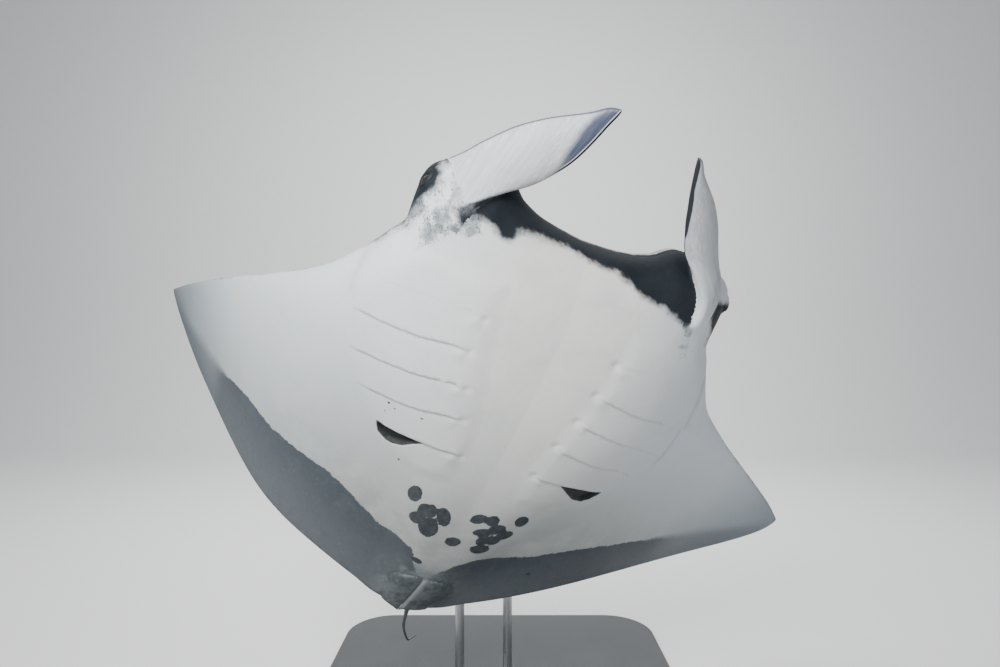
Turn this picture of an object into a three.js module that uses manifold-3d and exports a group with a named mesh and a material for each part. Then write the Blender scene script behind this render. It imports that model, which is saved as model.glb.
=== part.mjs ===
// Giant oceanic manta ray, life size, as a museum model on a display stand.
// Millimetres, +Z up, the viewer looks along +Y. The origin is the middle of the underside of the base.
// The animal is drawn flat first: s runs out from the midline along the wing, y runs forward, both as
// fractions of the disc width. The flat disc is then bent into the wing stroke and given its thickness.
import * as THREE from "three";
import { mergeVertices } from "three/addons/utils/BufferGeometryUtils.js";
import Module from "manifold-3d";

// ---- sizes -------------------------------------------------------------------------------------
const DISC_WIDTH = 4500; // tip to tip, measured along the wings
const GAP = 0.3; // between pieces that meet
const COLUMNS = 25; // columns of the disc mesh on each side
const ROWS = 17; // rows on the belly, and the same on the back

// the pose on the stand: belly to the front, head up, banked to one side
const POSE_DEG = [-65.47, -5.08, -156.24];
const BODY_AT = [24, -678, 1585]; // where the middle of the disc is held

// wing stroke: slope of the wing, in degrees, at these distances from the midline
const STROKE_AT = [0, 0.06, 0.12, 0.22, 0.34, 0.5];
const WINGS = {
  right: { side: 1, slope: [0, 2.5, 8.4, 43, 53.8, 67], twist: -3.9, sweep: 0.243 },
  left: { side: -1, slope: [0, 3.5, 11.6, 21, 21.3, 43.8], twist: 8, sweep: 0.285 },
};
const TWIST_AXIS_Y = -0.03;

// outline of the disc: [station, front s, front y, rear s]; the rear y comes from REAR
const FRONT = [
  [0.0, 0.0, 0.172, 0.0],
  [0.07, 0.035, 0.175, 0.03],
  [0.14, 0.06, 0.183, 0.055],
  [0.19, 0.078, 0.1955, 0.072], // corner of the mouth
  [0.24, 0.1, 0.1972, 0.088],
  [0.29, 0.121, 0.1942, 0.103],
  [0.33, 0.138, 0.188, 0.116],
  [0.37, 0.1448, 0.1727, 0.128], // eye
  [0.41, 0.1455, 0.155, 0.139],
  [0.45, 0.1452, 0.138, 0.15],
  [0.5, 0.155, 0.121, 0.163], // shoulder, behind the eye
  [0.55, 0.178, 0.092, 0.182],
  [0.6, 0.2, 0.0705, 0.204],
  [0.7, 0.262, 0.037, 0.262],
  [0.8, 0.34, 0.003, 0.338],
  [0.9, 0.427, -0.034, 0.425],
  [0.96, 0.476, -0.0545, 0.4755],
  [1.0, 0.4975, -0.0628, 0.4975],
];
const REAR = {
  s: [0, 0.02, 0.035, 0.06, 0.09, 0.13, 0.22, 0.32, 0.42, 0.47, 0.4975],
  y: [-0.2545, -0.2545, -0.2515, -0.239, -0.2246, -0.2055, -0.1638, -0.1213, -0.0865, -0.0738, -0.0676],
};

// half depth of the body below and above its middle plane, along the midline
const KEEL = {
  y: [-0.262, -0.23, -0.17, -0.1, -0.03, 0.04, 0.1, 0.15, 0.2],
  belly: [0.003, 0.009, 0.02, 0.032, 0.04, 0.044, 0.041, 0.033, 0.024],
  back: [0.003, 0.012, 0.027, 0.041, 0.051, 0.054, 0.047, 0.033, 0.02],
  width: [0.02, 0.028, 0.045, 0.075, 0.115, 0.15, 0.17, 0.18, 0.18],
};
const WING_HALF = {
  s: [0, 0.12, 0.2, 0.3, 0.4, 0.47, 0.5],
  t: [0.01, 0.0125, 0.0098, 0.0062, 0.0036, 0.002, 0.0013],
};
const HEAD_ROUND = 0.034; // how far in from the rim the head is rounded
const EDGE_HALF = 0.0007; // half thickness of the trailing edge

// fin on each side of the mouth: its inner and outer edges, from root to tip, in one leaning plane
const HORN = {
  t: [0, 0.1, 0.2, 0.3, 0.45, 0.6, 0.75, 0.9, 0.97, 1],
  inner: [[0.11, 0.145], [0.105, 0.168], [0.09, 0.185], [0.0715, 0.199], [0.0575, 0.217], [0.0492, 0.232], [0.0434, 0.248], [0.0386, 0.2645], [0.0361, 0.2723], [0.0354, 0.2758]],
  outer: [[0.13, 0.145], [0.1335, 0.168], [0.131, 0.186], [0.1212, 0.2], [0.1065, 0.217], [0.0928, 0.233], [0.0755, 0.2495], [0.052, 0.267], [0.041, 0.2763], [0.0361, 0.2775]],
  half: [0.014, 0.0125, 0.0105, 0.0085, 0.0062, 0.0048, 0.0036, 0.0024, 0.0018, 0.0015],
  drop: [0.034, 0.027, 0.013, 0.0015, 0, 0, 0, 0, 0, 0], // how far the inner edge hangs below the plane
  lean: 0.504,
  through: [0.093, -0.012],
  cup: 0.004,
  root: 0.19, // where the free part begins
  // how far each edge of the two fins is shifted outward from those, at the same t
  outerBy: {
    right: [0, 0.003, 0.0058, 0.004, 0.006, 0.0062, 0.0046, 0.002, 0.0006, 0],
    left: [-0.001, -0.006, -0.0088, -0.0095, -0.0075, -0.0052, -0.004, -0.005, -0.003, -0.0012],
  },
  innerBy: {
    right: [0, 0, 0, 0, 0, 0, 0, 0, 0, 0],
    left: [-0.006, -0.0051, -0.003, 0, 0.0022, 0.0022, 0.0005, -0.0012, -0.0014, -0.0012],
  },
  reach: { right: 1.005, left: 0.925 },
};
// the body curves a little towards its right at both ends
const CURVE = { head: { by: 0.003, from: 0.07, to: 0.18 }, rear: { by: 0.004, from: -0.12, to: -0.24 } };

const EYE = { at: [0.1372, 0.168, -0.002], radius: 0.0075 };

const TAIL = {
  path: [[0, -0.222, 0.0], [0.0006, -0.25, -0.0005], [-0.0025, -0.268, 0.001], [-0.012, -0.304, 0.019], [-0.0275, -0.3446, 0.046], [-0.045, -0.3832, 0.0734], [-0.0571, -0.4049, 0.0979], [-0.0662, -0.4155, 0.1133]],
  radius: [0.008, 0.005, 0.0023, 0.0017, 0.0014, 0.0012, 0.001, 0.0008],
  stations: 26,
  sides: 10,
};

const DORSAL = { from: -0.247, to: -0.198, height: 0.024, half: 0.0026 };
const PELVIC = {
  t: [0, 0.15, 0.4, 0.7, 0.88, 0.93, 0.97, 1],
  // the two meet along a line that slants across the middle; each is wide and cut off straight behind
  inner: { right: [-0.0002, 0.0004, 0.0015, 0.003, 0.0049, 0.0055, 0.0062, 0.0067], left: [0.0004, -0.0002, -0.0013, -0.0028, -0.0047, -0.0053, -0.006, -0.0065] },
  outer: { right: [0.012, 0.03, 0.0325, 0.0295, 0.027, 0.02, 0.012, 0.0076], left: [0.013, 0.034, 0.036, 0.0255, 0.0222, 0.01, -0.0015, -0.0058] },
  front: -0.2,
  rear: -0.2583,
  half: 0.0013,
  below: 0.0011, // how far its middle hangs below the belly
};

const BASE = { width: 1900, depth: 1950, height: 40, corner: 260, bevel: 8 };
const ROD = { radius: 24, bend: 210, sides: 12 };
const PAD = { radius: 85, depth: 34 };
const COLLAR = { radius: 70, height: 30 };
const RODS = [
  { name: "upper", y: 0.055, reach: 620 },
  { name: "lower", y: -0.1, reach: 350 },
];

// ---- curves ------------------------------------------------------------------------------------
// A smooth curve through (x, y) that never overshoots its values.
function through(xs, ys) {
  const n = xs.length;
  const h = [], d = [];
  for (let i = 0; i < n - 1; i++) {
    h.push(xs[i + 1] - xs[i]);
    d.push((ys[i + 1] - ys[i]) / h[i]);
  }
  const m = new Array(n).fill(0);
  for (let i = 1; i < n - 1; i++)
    if (d[i - 1] * d[i] > 0) {
      const a = 2 * h[i] + h[i - 1], b = h[i] + 2 * h[i - 1];
      m[i] = (a + b) / (a / d[i - 1] + b / d[i]);
    }
  const end = (h0, h1, d0, d1) => {
    let e = ((2 * h0 + h1) * d0 - h0 * d1) / (h0 + h1);
    if (e * d0 <= 0) e = 0;
    else if (d0 * d1 <= 0 && Math.abs(e) > 3 * Math.abs(d0)) e = 3 * d0;
    return e;
  };
  if (n > 2) {
    m[0] = end(h[0], h[1], d[0], d[1]);
    m[n - 1] = end(h[n - 2], h[n - 3], d[n - 2], d[n - 3]);
  } else m[0] = m[1] = d[0];
  return (x) => {
    if (x <= xs[0]) return ys[0];
    if (x >= xs[n - 1]) return ys[n - 1];
    let i = 0;
    while (x > xs[i + 1]) i++;
    const t = (x - xs[i]) / h[i];
    return (
      (1 + 2 * t) * (1 - t) ** 2 * ys[i] +
      t * (1 - t) ** 2 * h[i] * m[i] +
      t * t * (3 - 2 * t) * ys[i + 1] +
      t * t * (t - 1) * h[i] * m[i + 1]
    );
  };
}
const column = (k) => FRONT.map((r) => r[k]);
const frontS = through(column(0), column(1));
const frontY = through(column(0), column(2));
const rearS = through(column(0), column(3));
const rearY = through(REAR.s, REAR.y);
const keelBelly = through(KEEL.y, KEEL.belly);
const keelBack = through(KEEL.y, KEEL.back);
const keelWidth = through(KEEL.y, KEEL.width);
const wingHalf = through(WING_HALF.s, WING_HALF.t);

// The wing's middle line, as its slope and its place at any distance from the midline.
function bendOf(wing) {
  const slope = through(STROKE_AT, wing.slope.map(THREE.MathUtils.degToRad));
  const steps = 200;
  const x = [0], z = [0];
  for (let i = 1; i <= steps; i++) {
    const a = slope(((i - 0.5) / steps) * 0.5);
    x.push(x[i - 1] + (Math.cos(a) * 0.5) / steps);
    z.push(z[i - 1] + (Math.sin(a) * 0.5) / steps);
  }
  const read = (list, s) => {
    const f = Math.min(Math.max(s / 0.5, 0), 1) * steps;
    const i = Math.min(Math.floor(f), steps - 1);
    return list[i] + (list[i + 1] - list[i]) * (f - i);
  };
  return (s) => ({ slope: slope(s), x: read(x, s), z: read(z, s) });
}
for (const wing of Object.values(WINGS)) wing.bend = bendOf(wing);

const ease = (t) => (t <= 0 ? 0 : t >= 1 ? 1 : t * t * (3 - 2 * t));
const aside = (y) => Object.values(CURVE).reduce((sum, c) => sum + c.by * ease((y - c.from) / (c.to - c.from)), 0);

// A point of the flat disc, lifted by `off` along its own normal, as it lies in the wing stroke.
function bent(wing, s, y, off) {
  const b = wing.bend(s);
  const twist = THREE.MathUtils.degToRad(wing.twist) * Math.max(0, (s - 0.15) / 0.35) ** 1.5;
  const arm = y - TWIST_AXIS_Y;
  const lift = arm * Math.sin(twist) + off;
  const z = b.z + Math.cos(b.slope) * lift;
  return new THREE.Vector3(
    wing.side * (b.x - Math.sin(b.slope) * lift) + aside(y),
    TWIST_AXIS_Y + arm * Math.cos(twist) - wing.sweep * Math.max(0, z - off * Math.cos(b.slope)),
    z,
  ).multiplyScalar(DISC_WIDTH);
}

// ---- thickness ---------------------------------------------------------------------------------
const RIM = 160;
const frontRim = [], rearRim = [];
for (let i = 0; i <= RIM; i++) {
  frontRim.push([frontS(i / RIM), frontY(i / RIM)]);
  const s = rearS(i / RIM);
  rearRim.push([s, rearY(s)]);
}
function distance(rim, s, y) {
  let best = Infinity;
  for (let i = 0; i < rim.length - 1; i++) {
    const [ax, ay] = rim[i], [bx, by] = rim[i + 1];
    const dx = bx - ax, dy = by - ay;
    const t = Math.min(1, Math.max(0, ((s - ax) * dx + (y - ay) * dy) / (dx * dx + dy * dy || 1)));
    best = Math.min(best, Math.hypot(s - ax - t * dx, y - ay - t * dy));
  }
  return best;
}
// A wing section: half its thickness, as a share of the greatest, at this share of the chord.
const foil = (c) => 10 * (0.2969 * Math.sqrt(c) - 0.126 * c - 0.3516 * c ** 2 + 0.2843 * c ** 3 - 0.1036 * c ** 4);
const rounded = (d, r) => (d >= r ? 1 : Math.sqrt(1 - (1 - d / r) ** 2));

function halves(s, y) {
  const front = distance(frontRim, s, y);
  const rear = distance(rearRim, s, y);
  const c = front / Math.max(front + rear, 1e-9);
  const width = keelWidth(y);
  const bulk = rounded(front, HEAD_ROUND) / (1 + (s / width) ** 4);
  const wing = wingHalf(s) * foil(c);
  const edge = EDGE_HALF * Math.min(1, front / 0.004);
  return {
    belly: keelBelly(y) * bulk + 0.9 * wing + edge,
    back: keelBack(y) * bulk + 1.1 * wing + edge,
  };
}

// ---- meshes ------------------------------------------------------------------------------------
// A closed skin through loops of points that all have the same count, capped at both ends.
function loft(loops) {
  const k = loops[0].length;
  const pos = [], index = [];
  for (const loop of loops) for (const p of loop) pos.push(p.x, p.y, p.z);
  for (let i = 0; i < loops.length - 1; i++)
    for (let j = 0; j < k; j++) {
      const a = i * k + j, b = i * k + ((j + 1) % k), c = a + k, d = b + k;
      index.push(a, b, d, a, d, c);
    }
  for (const [i, flip] of [[0, true], [loops.length - 1, false]]) {
    const mid = new THREE.Vector3();
    for (const p of loops[i]) mid.add(p);
    mid.divideScalar(k);
    pos.push(mid.x, mid.y, mid.z);
    const m = pos.length / 3 - 1;
    for (let j = 0; j < k; j++) {
      const a = i * k + j, b = i * k + ((j + 1) % k);
      if (flip) index.push(m, b, a);
      else index.push(m, a, b);
    }
  }
  return new THREE.BufferGeometry()
    .setAttribute("position", new THREE.BufferAttribute(new Float32Array(pos), 3))
    .setIndex(index);
}

const wasm = await Module();
wasm.setup();

function solid(geometry) {
  const g = geometry.clone();
  g.deleteAttribute("normal");
  g.deleteAttribute("uv");
  const m = mergeVertices(g, 1e-3);
  const make = (flip) => {
    const tri = new Uint32Array(m.index.array);
    if (flip) for (let i = 0; i < tri.length; i += 3) [tri[i + 1], tri[i + 2]] = [tri[i + 2], tri[i + 1]];
    return new wasm.Manifold(new wasm.Mesh({ numProp: 3, vertProperties: new Float32Array(m.attributes.position.array), triVerts: tri }));
  };
  const made = make(false);
  return made.volume() < 0 ? make(true) : made;
}
function geometryOf(made) {
  const mesh = made.getMesh();
  const pos = new Float32Array(mesh.numVert * 3);
  for (let i = 0; i < mesh.numVert; i++)
    for (let k = 0; k < 3; k++) pos[i * 3 + k] = mesh.vertProperties[i * mesh.numProp + k];
  const g = new THREE.BufferGeometry()
    .setAttribute("position", new THREE.BufferAttribute(pos, 3))
    .setIndex(Array.from(mesh.triVerts));
  const flat = g.toNonIndexed();
  flat.computeVertexNormals();
  return flat;
}
// A box between two corners given as fractions of the disc width.
function slab(x0, x1, y0, y1, z0 = -1, z1 = 1) {
  const k = DISC_WIDTH;
  const g = new THREE.BoxGeometry((x1 - x0) * k, (y1 - y0) * k, (z1 - z0) * k);
  g.translate(((x0 + x1) / 2) * k, ((y0 + y1) / 2) * k, ((z0 + z1) / 2) * k);
  return solid(g);
}

function discLoops() {
  const loops = [];
  const add = (wing, u) => {
    const fs = frontS(u), fy = frontY(u), rs = rearS(u), ry = rearY(rs);
    const belly = [], back = [];
    for (let j = 0; j <= ROWS; j++) {
      const f = j / ROWS;
      // rows crowd towards the front edge, and a little towards the rear one
      const v = 0.65 * (1 - Math.cos((Math.PI / 2) * f)) + 0.35 * (0.5 - 0.5 * Math.cos(Math.PI * f));
      const s = fs + (rs - fs) * v, y = fy + (ry - fy) * v;
      const h = j === 0 ? { belly: 0, back: 0 } : halves(s, y);
      belly.push(bent(wing, s, y, -h.belly));
      if (j > 0) back.push(bent(wing, s, y, h.back));
    }
    loops.push([...belly, ...back.reverse()]);
  };
  for (let i = COLUMNS; i >= 1; i--) add(WINGS.left, i / COLUMNS);
  for (let i = 0; i <= COLUMNS; i++) add(WINGS.right, i / COLUMNS);
  return loops;
}

function hornLoops(name) {
  const side = WINGS[name].side;
  const curve = (list, k) => through(HORN.t, list.map((p) => p[k]));
  const ix = curve(HORN.inner, 0), iy = curve(HORN.inner, 1);
  const ox = curve(HORN.outer, 0), oy = curve(HORN.outer, 1);
  const half = through(HORN.t, HORN.half), drop = through(HORN.t, HORN.drop);
  const outerBy = through(HORN.t, HORN.outerBy[name]), innerBy = through(HORN.t, HORN.innerBy[name]);
  const norm = Math.hypot(HORN.lean, 1);
  const n = new THREE.Vector3(HORN.lean / norm, 0, -1 / norm); // out of the pale face
  const loops = [];
  const stations = 15, around = 7;
  for (let i = 0; i <= stations; i++) {
    const t = Math.sin(((i / stations) * Math.PI) / 2) ** 1.25;
    const far = (y) => HORN.root + (y - HORN.root) * (y > HORN.root ? HORN.reach[name] : 1);
    const a = new THREE.Vector3(ix(t) + innerBy(t), far(iy(t)), 0), b = new THREE.Vector3(ox(t) + outerBy(t), far(oy(t)), 0);
    for (const p of [a, b]) p.z = HORN.lean * (p.x - HORN.through[0]) + HORN.through[1];
    a.z -= drop(t);
    const pale = [], dark = [];
    for (let j = 0; j <= around; j++) {
      const q = -Math.cos((Math.PI * j) / around);
      const p = a.clone().lerp(b, (q + 1) / 2);
      const bulge = Math.sqrt(Math.max(0, 1 - q * q));
      p.addScaledVector(n, HORN.cup * (1 - q * q) * Math.sin(Math.PI * t));
      pale.push(p.clone().addScaledVector(n, half(t) * bulge));
      if (j > 0 && j < around) dark.push(p.clone().addScaledVector(n, -half(t) * bulge));
    }
    const loop = [...pale, ...dark.reverse()];
    for (const p of loop) p.set(side * p.x, p.y, p.z).multiplyScalar(DISC_WIDTH);
    loops.push(loop);
  }
  return loops;
}

function tailLoops() {
  const path = new THREE.CatmullRomCurve3(TAIL.path.map((p) => new THREE.Vector3(...p)), false, "centripetal");
  const knots = TAIL.path.map((_, i) => i / (TAIL.path.length - 1));
  const radius = through(knots, TAIL.radius);
  const frames = path.computeFrenetFrames(TAIL.stations, false);
  const loops = [];
  for (let i = 0; i <= TAIL.stations; i++) {
    // getPoint spaces its stations by control point, as the radii are
    const t = i / TAIL.stations;
    const p = path.getPoint(t);
    const tangent = path.getTangent(t);
    const u = new THREE.Vector3(1, 0, 0).cross(tangent).normalize();
    const v = new THREE.Vector3().crossVectors(tangent, u).normalize();
    const loop = [];
    for (let j = 0; j < TAIL.sides; j++) {
      const a = (2 * Math.PI * j) / TAIL.sides;
      const flat = t < 0.2 ? 0.75 + 1.25 * t : 1;
      loop.push(
        p.clone()
          .addScaledVector(u, Math.cos(a) * radius(t) * flat)
          .addScaledVector(v, Math.sin(a) * radius(t))
          .multiplyScalar(DISC_WIDTH),
      );
    }
    loops.push(loop);
  }
  return loops;
}

// A low swept fin that stands on the root of the tail.
function dorsalSolid() {
  const k = DISC_WIDTH;
  const shape = new THREE.Shape();
  const len = DORSAL.to - DORSAL.from;
  const foot = -0.012;
  shape.moveTo(DORSAL.to * k, foot * k);
  shape.lineTo(DORSAL.to * k, keelBack(DORSAL.to) * 0.9 * k);
  shape.quadraticCurveTo((DORSAL.from + 0.45 * len) * k, (0.72 * DORSAL.height + 0.01) * k, (DORSAL.from - 0.05 * len) * k, (DORSAL.height + 0.009) * k);
  shape.quadraticCurveTo((DORSAL.from - 0.02 * len) * k, 0.5 * DORSAL.height * k, (DORSAL.from + 0.1 * len) * k, foot * k);
  const g = new THREE.ExtrudeGeometry(shape, { depth: DORSAL.half * k, curveSegments: 8, bevelEnabled: true, bevelThickness: DORSAL.half * 0.5 * k, bevelSize: DORSAL.half * 0.6 * k, bevelSegments: 1 });
  g.translate(0, 0, (-DORSAL.half / 2) * k);
  // drawn in (y, z): stand it upright along the body
  g.applyMatrix4(new THREE.Matrix4().makeBasis(new THREE.Vector3(0, 1, 0), new THREE.Vector3(0, 0, 1), new THREE.Vector3(1, 0, 0)));
  return solid(g);
}

// A small lobe on each side of the root of the tail.
function pelvicLoops(name) {
  const side = WINGS[name].side;
  const inner = through(PELVIC.t, PELVIC.inner[name]), outer = through(PELVIC.t, PELVIC.outer[name]);
  const loops = [];
  const stations = 9, around = 5;
  for (let i = 0; i <= stations; i++) {
    const t = i / stations;
    const y = PELVIC.front + (PELVIC.rear - PELVIC.front) * t;
    const half = PELVIC.half * (0.45 + 0.55 * Math.sin(Math.PI * Math.min(1, t + 0.12)));
    const low = [], high = [];
    for (let j = 0; j <= around; j++) {
      const q = -Math.cos((Math.PI * j) / around);
      const b = Math.sqrt(Math.max(0, 1 - q * q));
      const x = inner(t) + ((outer(t) - inner(t)) * (q + 1)) / 2;
      const z = -halves(x, Math.max(y, -0.245)).belly - PELVIC.below * Math.min(1, 0.3 + 2 * t);
      low.push(new THREE.Vector3(x, y, z - half * b));
      if (j > 0 && j < around) high.push(new THREE.Vector3(x, y, z + half * b));
    }
    const loop = [...low, ...high.reverse()];
    for (const p of loop) p.set(side * p.x + aside(p.y), p.y, p.z).multiplyScalar(DISC_WIDTH);
    loops.push(loop);
  }
  return loops;
}

// ---- the animal, whole, then parted with thin cuts ----------------------------------------------
const g2 = GAP / 2 / DISC_WIDTH;
const disc = solid(loft(discLoops()));
const body = disc
  .add(solid(loft(hornLoops("right"))))
  .add(solid(loft(hornLoops("left"))))
  .add(solid(loft(tailLoops())))
  .add(dorsalSolid());

const CUT = { head: 0.103, horn: 0.1985, hornX: 0.004, wing: 0.165, tail: -0.2535, fin: 0.0165 };
function ball(side, extra) {
  const g = new THREE.IcosahedronGeometry(EYE.radius * DISC_WIDTH + extra, 2);
  g.translate((side * EYE.at[0] + aside(EYE.at[1])) * DISC_WIDTH, EYE.at[1] * DISC_WIDTH, EYE.at[2] * DISC_WIDTH);
  return solid(g);
}
const sockets = ball(1, GAP).add(ball(-1, GAP));
const hornBoxes = slab(CUT.hornX, 0.3, CUT.horn, 0.5).add(slab(-0.3, -CUT.hornX, CUT.horn, 0.5));
const hornFree = slab(CUT.hornX - 2 * g2, 0.3, CUT.horn - 2 * g2, 0.5).add(slab(-0.3, -CUT.hornX + 2 * g2, CUT.horn - 2 * g2, 0.5));
const finBox = slab(-0.05, 0.05, DORSAL.from - 0.01, DORSAL.to, CUT.fin, 0.2);
const finFree = slab(-0.05 - 2 * g2, 0.05 + 2 * g2, DORSAL.from - 0.01 - 2 * g2, DORSAL.to + 2 * g2, CUT.fin - 2 * g2, 0.2);

// keeps only the largest piece of a cut, so that no crumb is left with it
function largest(made) {
  const parts = made.decompose();
  return parts.reduce((a, b) => (a.volume() >= b.volume() ? a : b));
}
const pieces = {
  head: largest(body.intersect(slab(-0.3, 0.3, CUT.head + g2, 0.5)).subtract(hornFree).subtract(sockets)),
  trunk: largest(body.intersect(slab(-CUT.wing + g2, CUT.wing - g2, CUT.tail + g2, CUT.head - g2)).subtract(finFree)),
  pectoral_fin_right: largest(body.intersect(slab(CUT.wing + g2, 0.8, -0.4, CUT.head - g2))),
  pectoral_fin_left: largest(body.intersect(slab(-0.8, -CUT.wing - g2, -0.4, CUT.head - g2))),
  cephalic_fin_right: largest(body.intersect(hornBoxes).intersect(slab(0, 0.4, 0, 0.5))),
  cephalic_fin_left: largest(body.intersect(hornBoxes).intersect(slab(-0.4, 0, 0, 0.5))),
  dorsal_fin: largest(body.intersect(finBox)),
  tail: largest(body.intersect(slab(-0.15, 0.15, -0.6, CUT.tail - g2)).subtract(finFree)),
};
const shifted = body.translate([0, 0, -GAP]);
for (const name of ["right", "left"])
  pieces["pelvic_fin_" + name] = largest(solid(loft(pelvicLoops(name))).subtract(shifted));
pieces.eye_right = ball(1, 0);
pieces.eye_left = ball(-1, 0);

const skin = (color, roughness) => new THREE.MeshStandardMaterial({ color, roughness, metalness: 0 });
const pale = skin(0xc9ccce, 0.5), dark = skin(0x2b3238, 0.5);
const eyeball = skin(0x15171a, 0.12);

const animal = new THREE.Group();
for (const [name, made] of Object.entries(pieces)) {
  const material = name.startsWith("eye") ? eyeball : name === "tail" || name === "dorsal_fin" ? dark : pale;
  const mesh = new THREE.Mesh(geometryOf(made), material);
  mesh.name = name;
  animal.add(mesh);
}
animal.rotation.set(...POSE_DEG.map(THREE.MathUtils.degToRad), "XYZ");
animal.position.set(...BODY_AT);
animal.updateMatrixWorld(true);

// ---- display stand -----------------------------------------------------------------------------
const model = new THREE.Group();
model.add(animal);
const steel = new THREE.MeshStandardMaterial({ color: 0x8b8f92, roughness: 0.35, metalness: 1 });
const paint = new THREE.MeshStandardMaterial({ color: 0x3a3d40, roughness: 0.5, metalness: 0 });
function put(name, geometry, material) {
  const mesh = new THREE.Mesh(geometry, material);
  mesh.name = name;
  model.add(mesh);
  return mesh;
}
{
  const { width: w, depth: d, height: h, corner: r, bevel } = BASE;
  const x = w / 2 - bevel, y = d / 2 - bevel;
  const shape = new THREE.Shape();
  shape.moveTo(-x + r, -y);
  shape.lineTo(x - r, -y);
  shape.absarc(x - r, -y + r, r, -Math.PI / 2, 0);
  shape.absarc(x - r, y - r, r, 0, Math.PI / 2);
  shape.absarc(-x + r, y - r, r, Math.PI / 2, Math.PI);
  shape.absarc(-x + r, -y + r, r, Math.PI, 1.5 * Math.PI);
  const g = new THREE.ExtrudeGeometry(shape, { depth: h - 2 * bevel, bevelEnabled: true, bevelThickness: bevel, bevelSize: bevel, bevelSegments: 1, curveSegments: 5 });
  g.translate(0, 0, bevel);
  put("stand_base", geometryOf(solid(g)), paint);
}
const bodyInRoom = solid(geometryOf(body)).transform(Array.from(animal.matrixWorld.elements));
for (const { name, y, reach } of RODS) {
  const out = new THREE.Vector3(0, 0, 1).transformDirection(animal.matrixWorld); // out of the back
  const seat = new THREE.Vector3(0, y * DISC_WIDTH, halves(0, y).back * DISC_WIDTH).applyMatrix4(animal.matrixWorld);
  const turn = new THREE.Quaternion().setFromUnitVectors(new THREE.Vector3(0, 0, 1), out);
  // the pad is sunk a little way so that its whole rim meets the back, and is cut to fit it
  const sink = 14;
  const disk = new THREE.CylinderGeometry(PAD.radius * 0.8, PAD.radius, PAD.depth + sink, 20);
  disk.rotateX(Math.PI / 2);
  disk.translate(0, 0, (PAD.depth - sink) / 2);
  disk.applyQuaternion(turn);
  disk.translate(seat.x, seat.y, seat.z);
  const pad = largest(solid(disk).subtract(bodyInRoom.translate(out.clone().multiplyScalar(GAP).toArray())));
  put("stand_pad_" + name, geometryOf(pad), steel);

  // the rod leaves the pad square, turns over, and goes straight down to the base
  const start = seat.clone().addScaledVector(out, PAD.depth + GAP);
  const corner = start.clone().addScaledVector(out, reach);
  const foot = new THREE.Vector3(corner.x, corner.y, BASE.height + COLLAR.height + 2 * GAP);
  const down = new THREE.Vector3(0, 0, -1);
  const into = out.clone();
  const half = Math.acos(-into.dot(down)) / 2; // half the angle inside the corner
  const cut = Math.min(ROD.bend / Math.tan(half), reach * 0.95);
  const radius = cut * Math.tan(half);
  const middle = corner.clone().addScaledVector(down.clone().sub(into).normalize(), radius / Math.sin(half));
  const from = corner.clone().addScaledVector(into, -cut), to = corner.clone().addScaledVector(down, cut);
  const points = [start];
  const sweep = Math.PI - 2 * half;
  const a0 = from.clone().sub(middle).normalize();
  const bendSteps = 9;
  for (let i = 0; i <= bendSteps; i++) {
    const a = (sweep * i) / bendSteps;
    points.push(middle.clone().addScaledVector(a0, radius * Math.cos(a)).addScaledVector(into, radius * Math.sin(a)));
  }
  points.push(foot);
  const axis = new THREE.Vector3().crossVectors(into, down).normalize();
  const loops = points.map((p, i) => {
    const t = i === 0 ? into : i === points.length - 1 ? down : i === 1 ? into : i === points.length - 2 ? down : points[i + 1].clone().sub(points[i - 1]).normalize();
    const n = new THREE.Vector3().crossVectors(axis, t).normalize();
    return Array.from({ length: ROD.sides }, (_, j) => {
      const a = (2 * Math.PI * j) / ROD.sides;
      return p.clone().addScaledVector(axis, ROD.radius * Math.cos(a)).addScaledVector(n, ROD.radius * Math.sin(a));
    });
  });
  put("stand_rod_" + name, geometryOf(solid(loft(loops))), steel);

  // a collar on the base that the rod stands on
  const collar = new THREE.LatheGeometry(
    [new THREE.Vector2(0, 0), new THREE.Vector2(COLLAR.radius, 0), new THREE.Vector2(COLLAR.radius, COLLAR.height * 0.4), new THREE.Vector2(ROD.radius * 1.5, COLLAR.height), new THREE.Vector2(0, COLLAR.height)],
    20,
  );
  collar.rotateX(Math.PI / 2);
  collar.translate(foot.x, foot.y, BASE.height + GAP);
  put("stand_collar_" + name, geometryOf(solid(collar)), steel);
}

export default model;
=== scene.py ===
# Giant oceanic manta ray, life size, on a plain display stand.
# One skin takes the place of the solids of the flesh; the eyes and the stand are finer pieces in their own places.
# Metres. X is to the viewer's right, the viewer looks along +Y, Z is up.
# The animal is drawn flat: X runs from the midline to its right wing tip, Y runs forward, both as
# fractions of the disc width; `bent` then lays that flat disc in the wing stroke.
import math

import bmesh
import bpy
import numpy as np
from mathutils import Matrix, Vector
from mathutils.bvhtree import BVHTree
from mathutils.geometry import delaunay_2d_cdt
from mathutils.kdtree import KDTree


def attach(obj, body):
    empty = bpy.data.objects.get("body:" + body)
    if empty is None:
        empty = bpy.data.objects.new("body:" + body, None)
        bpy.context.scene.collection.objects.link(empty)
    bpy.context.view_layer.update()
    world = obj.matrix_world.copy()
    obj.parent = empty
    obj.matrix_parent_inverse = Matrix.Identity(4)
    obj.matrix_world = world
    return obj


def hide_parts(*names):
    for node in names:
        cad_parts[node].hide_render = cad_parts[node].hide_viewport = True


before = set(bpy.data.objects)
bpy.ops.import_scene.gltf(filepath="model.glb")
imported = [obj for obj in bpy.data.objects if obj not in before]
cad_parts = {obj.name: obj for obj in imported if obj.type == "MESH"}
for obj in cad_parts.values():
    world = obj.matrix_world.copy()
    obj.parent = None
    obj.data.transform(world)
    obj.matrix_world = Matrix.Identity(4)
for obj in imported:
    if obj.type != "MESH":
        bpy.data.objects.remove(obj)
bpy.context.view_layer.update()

# ==== shape of the animal =========================================================================
# (the same sizes and functions as the solids)
WIDTH = 4.5
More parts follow.
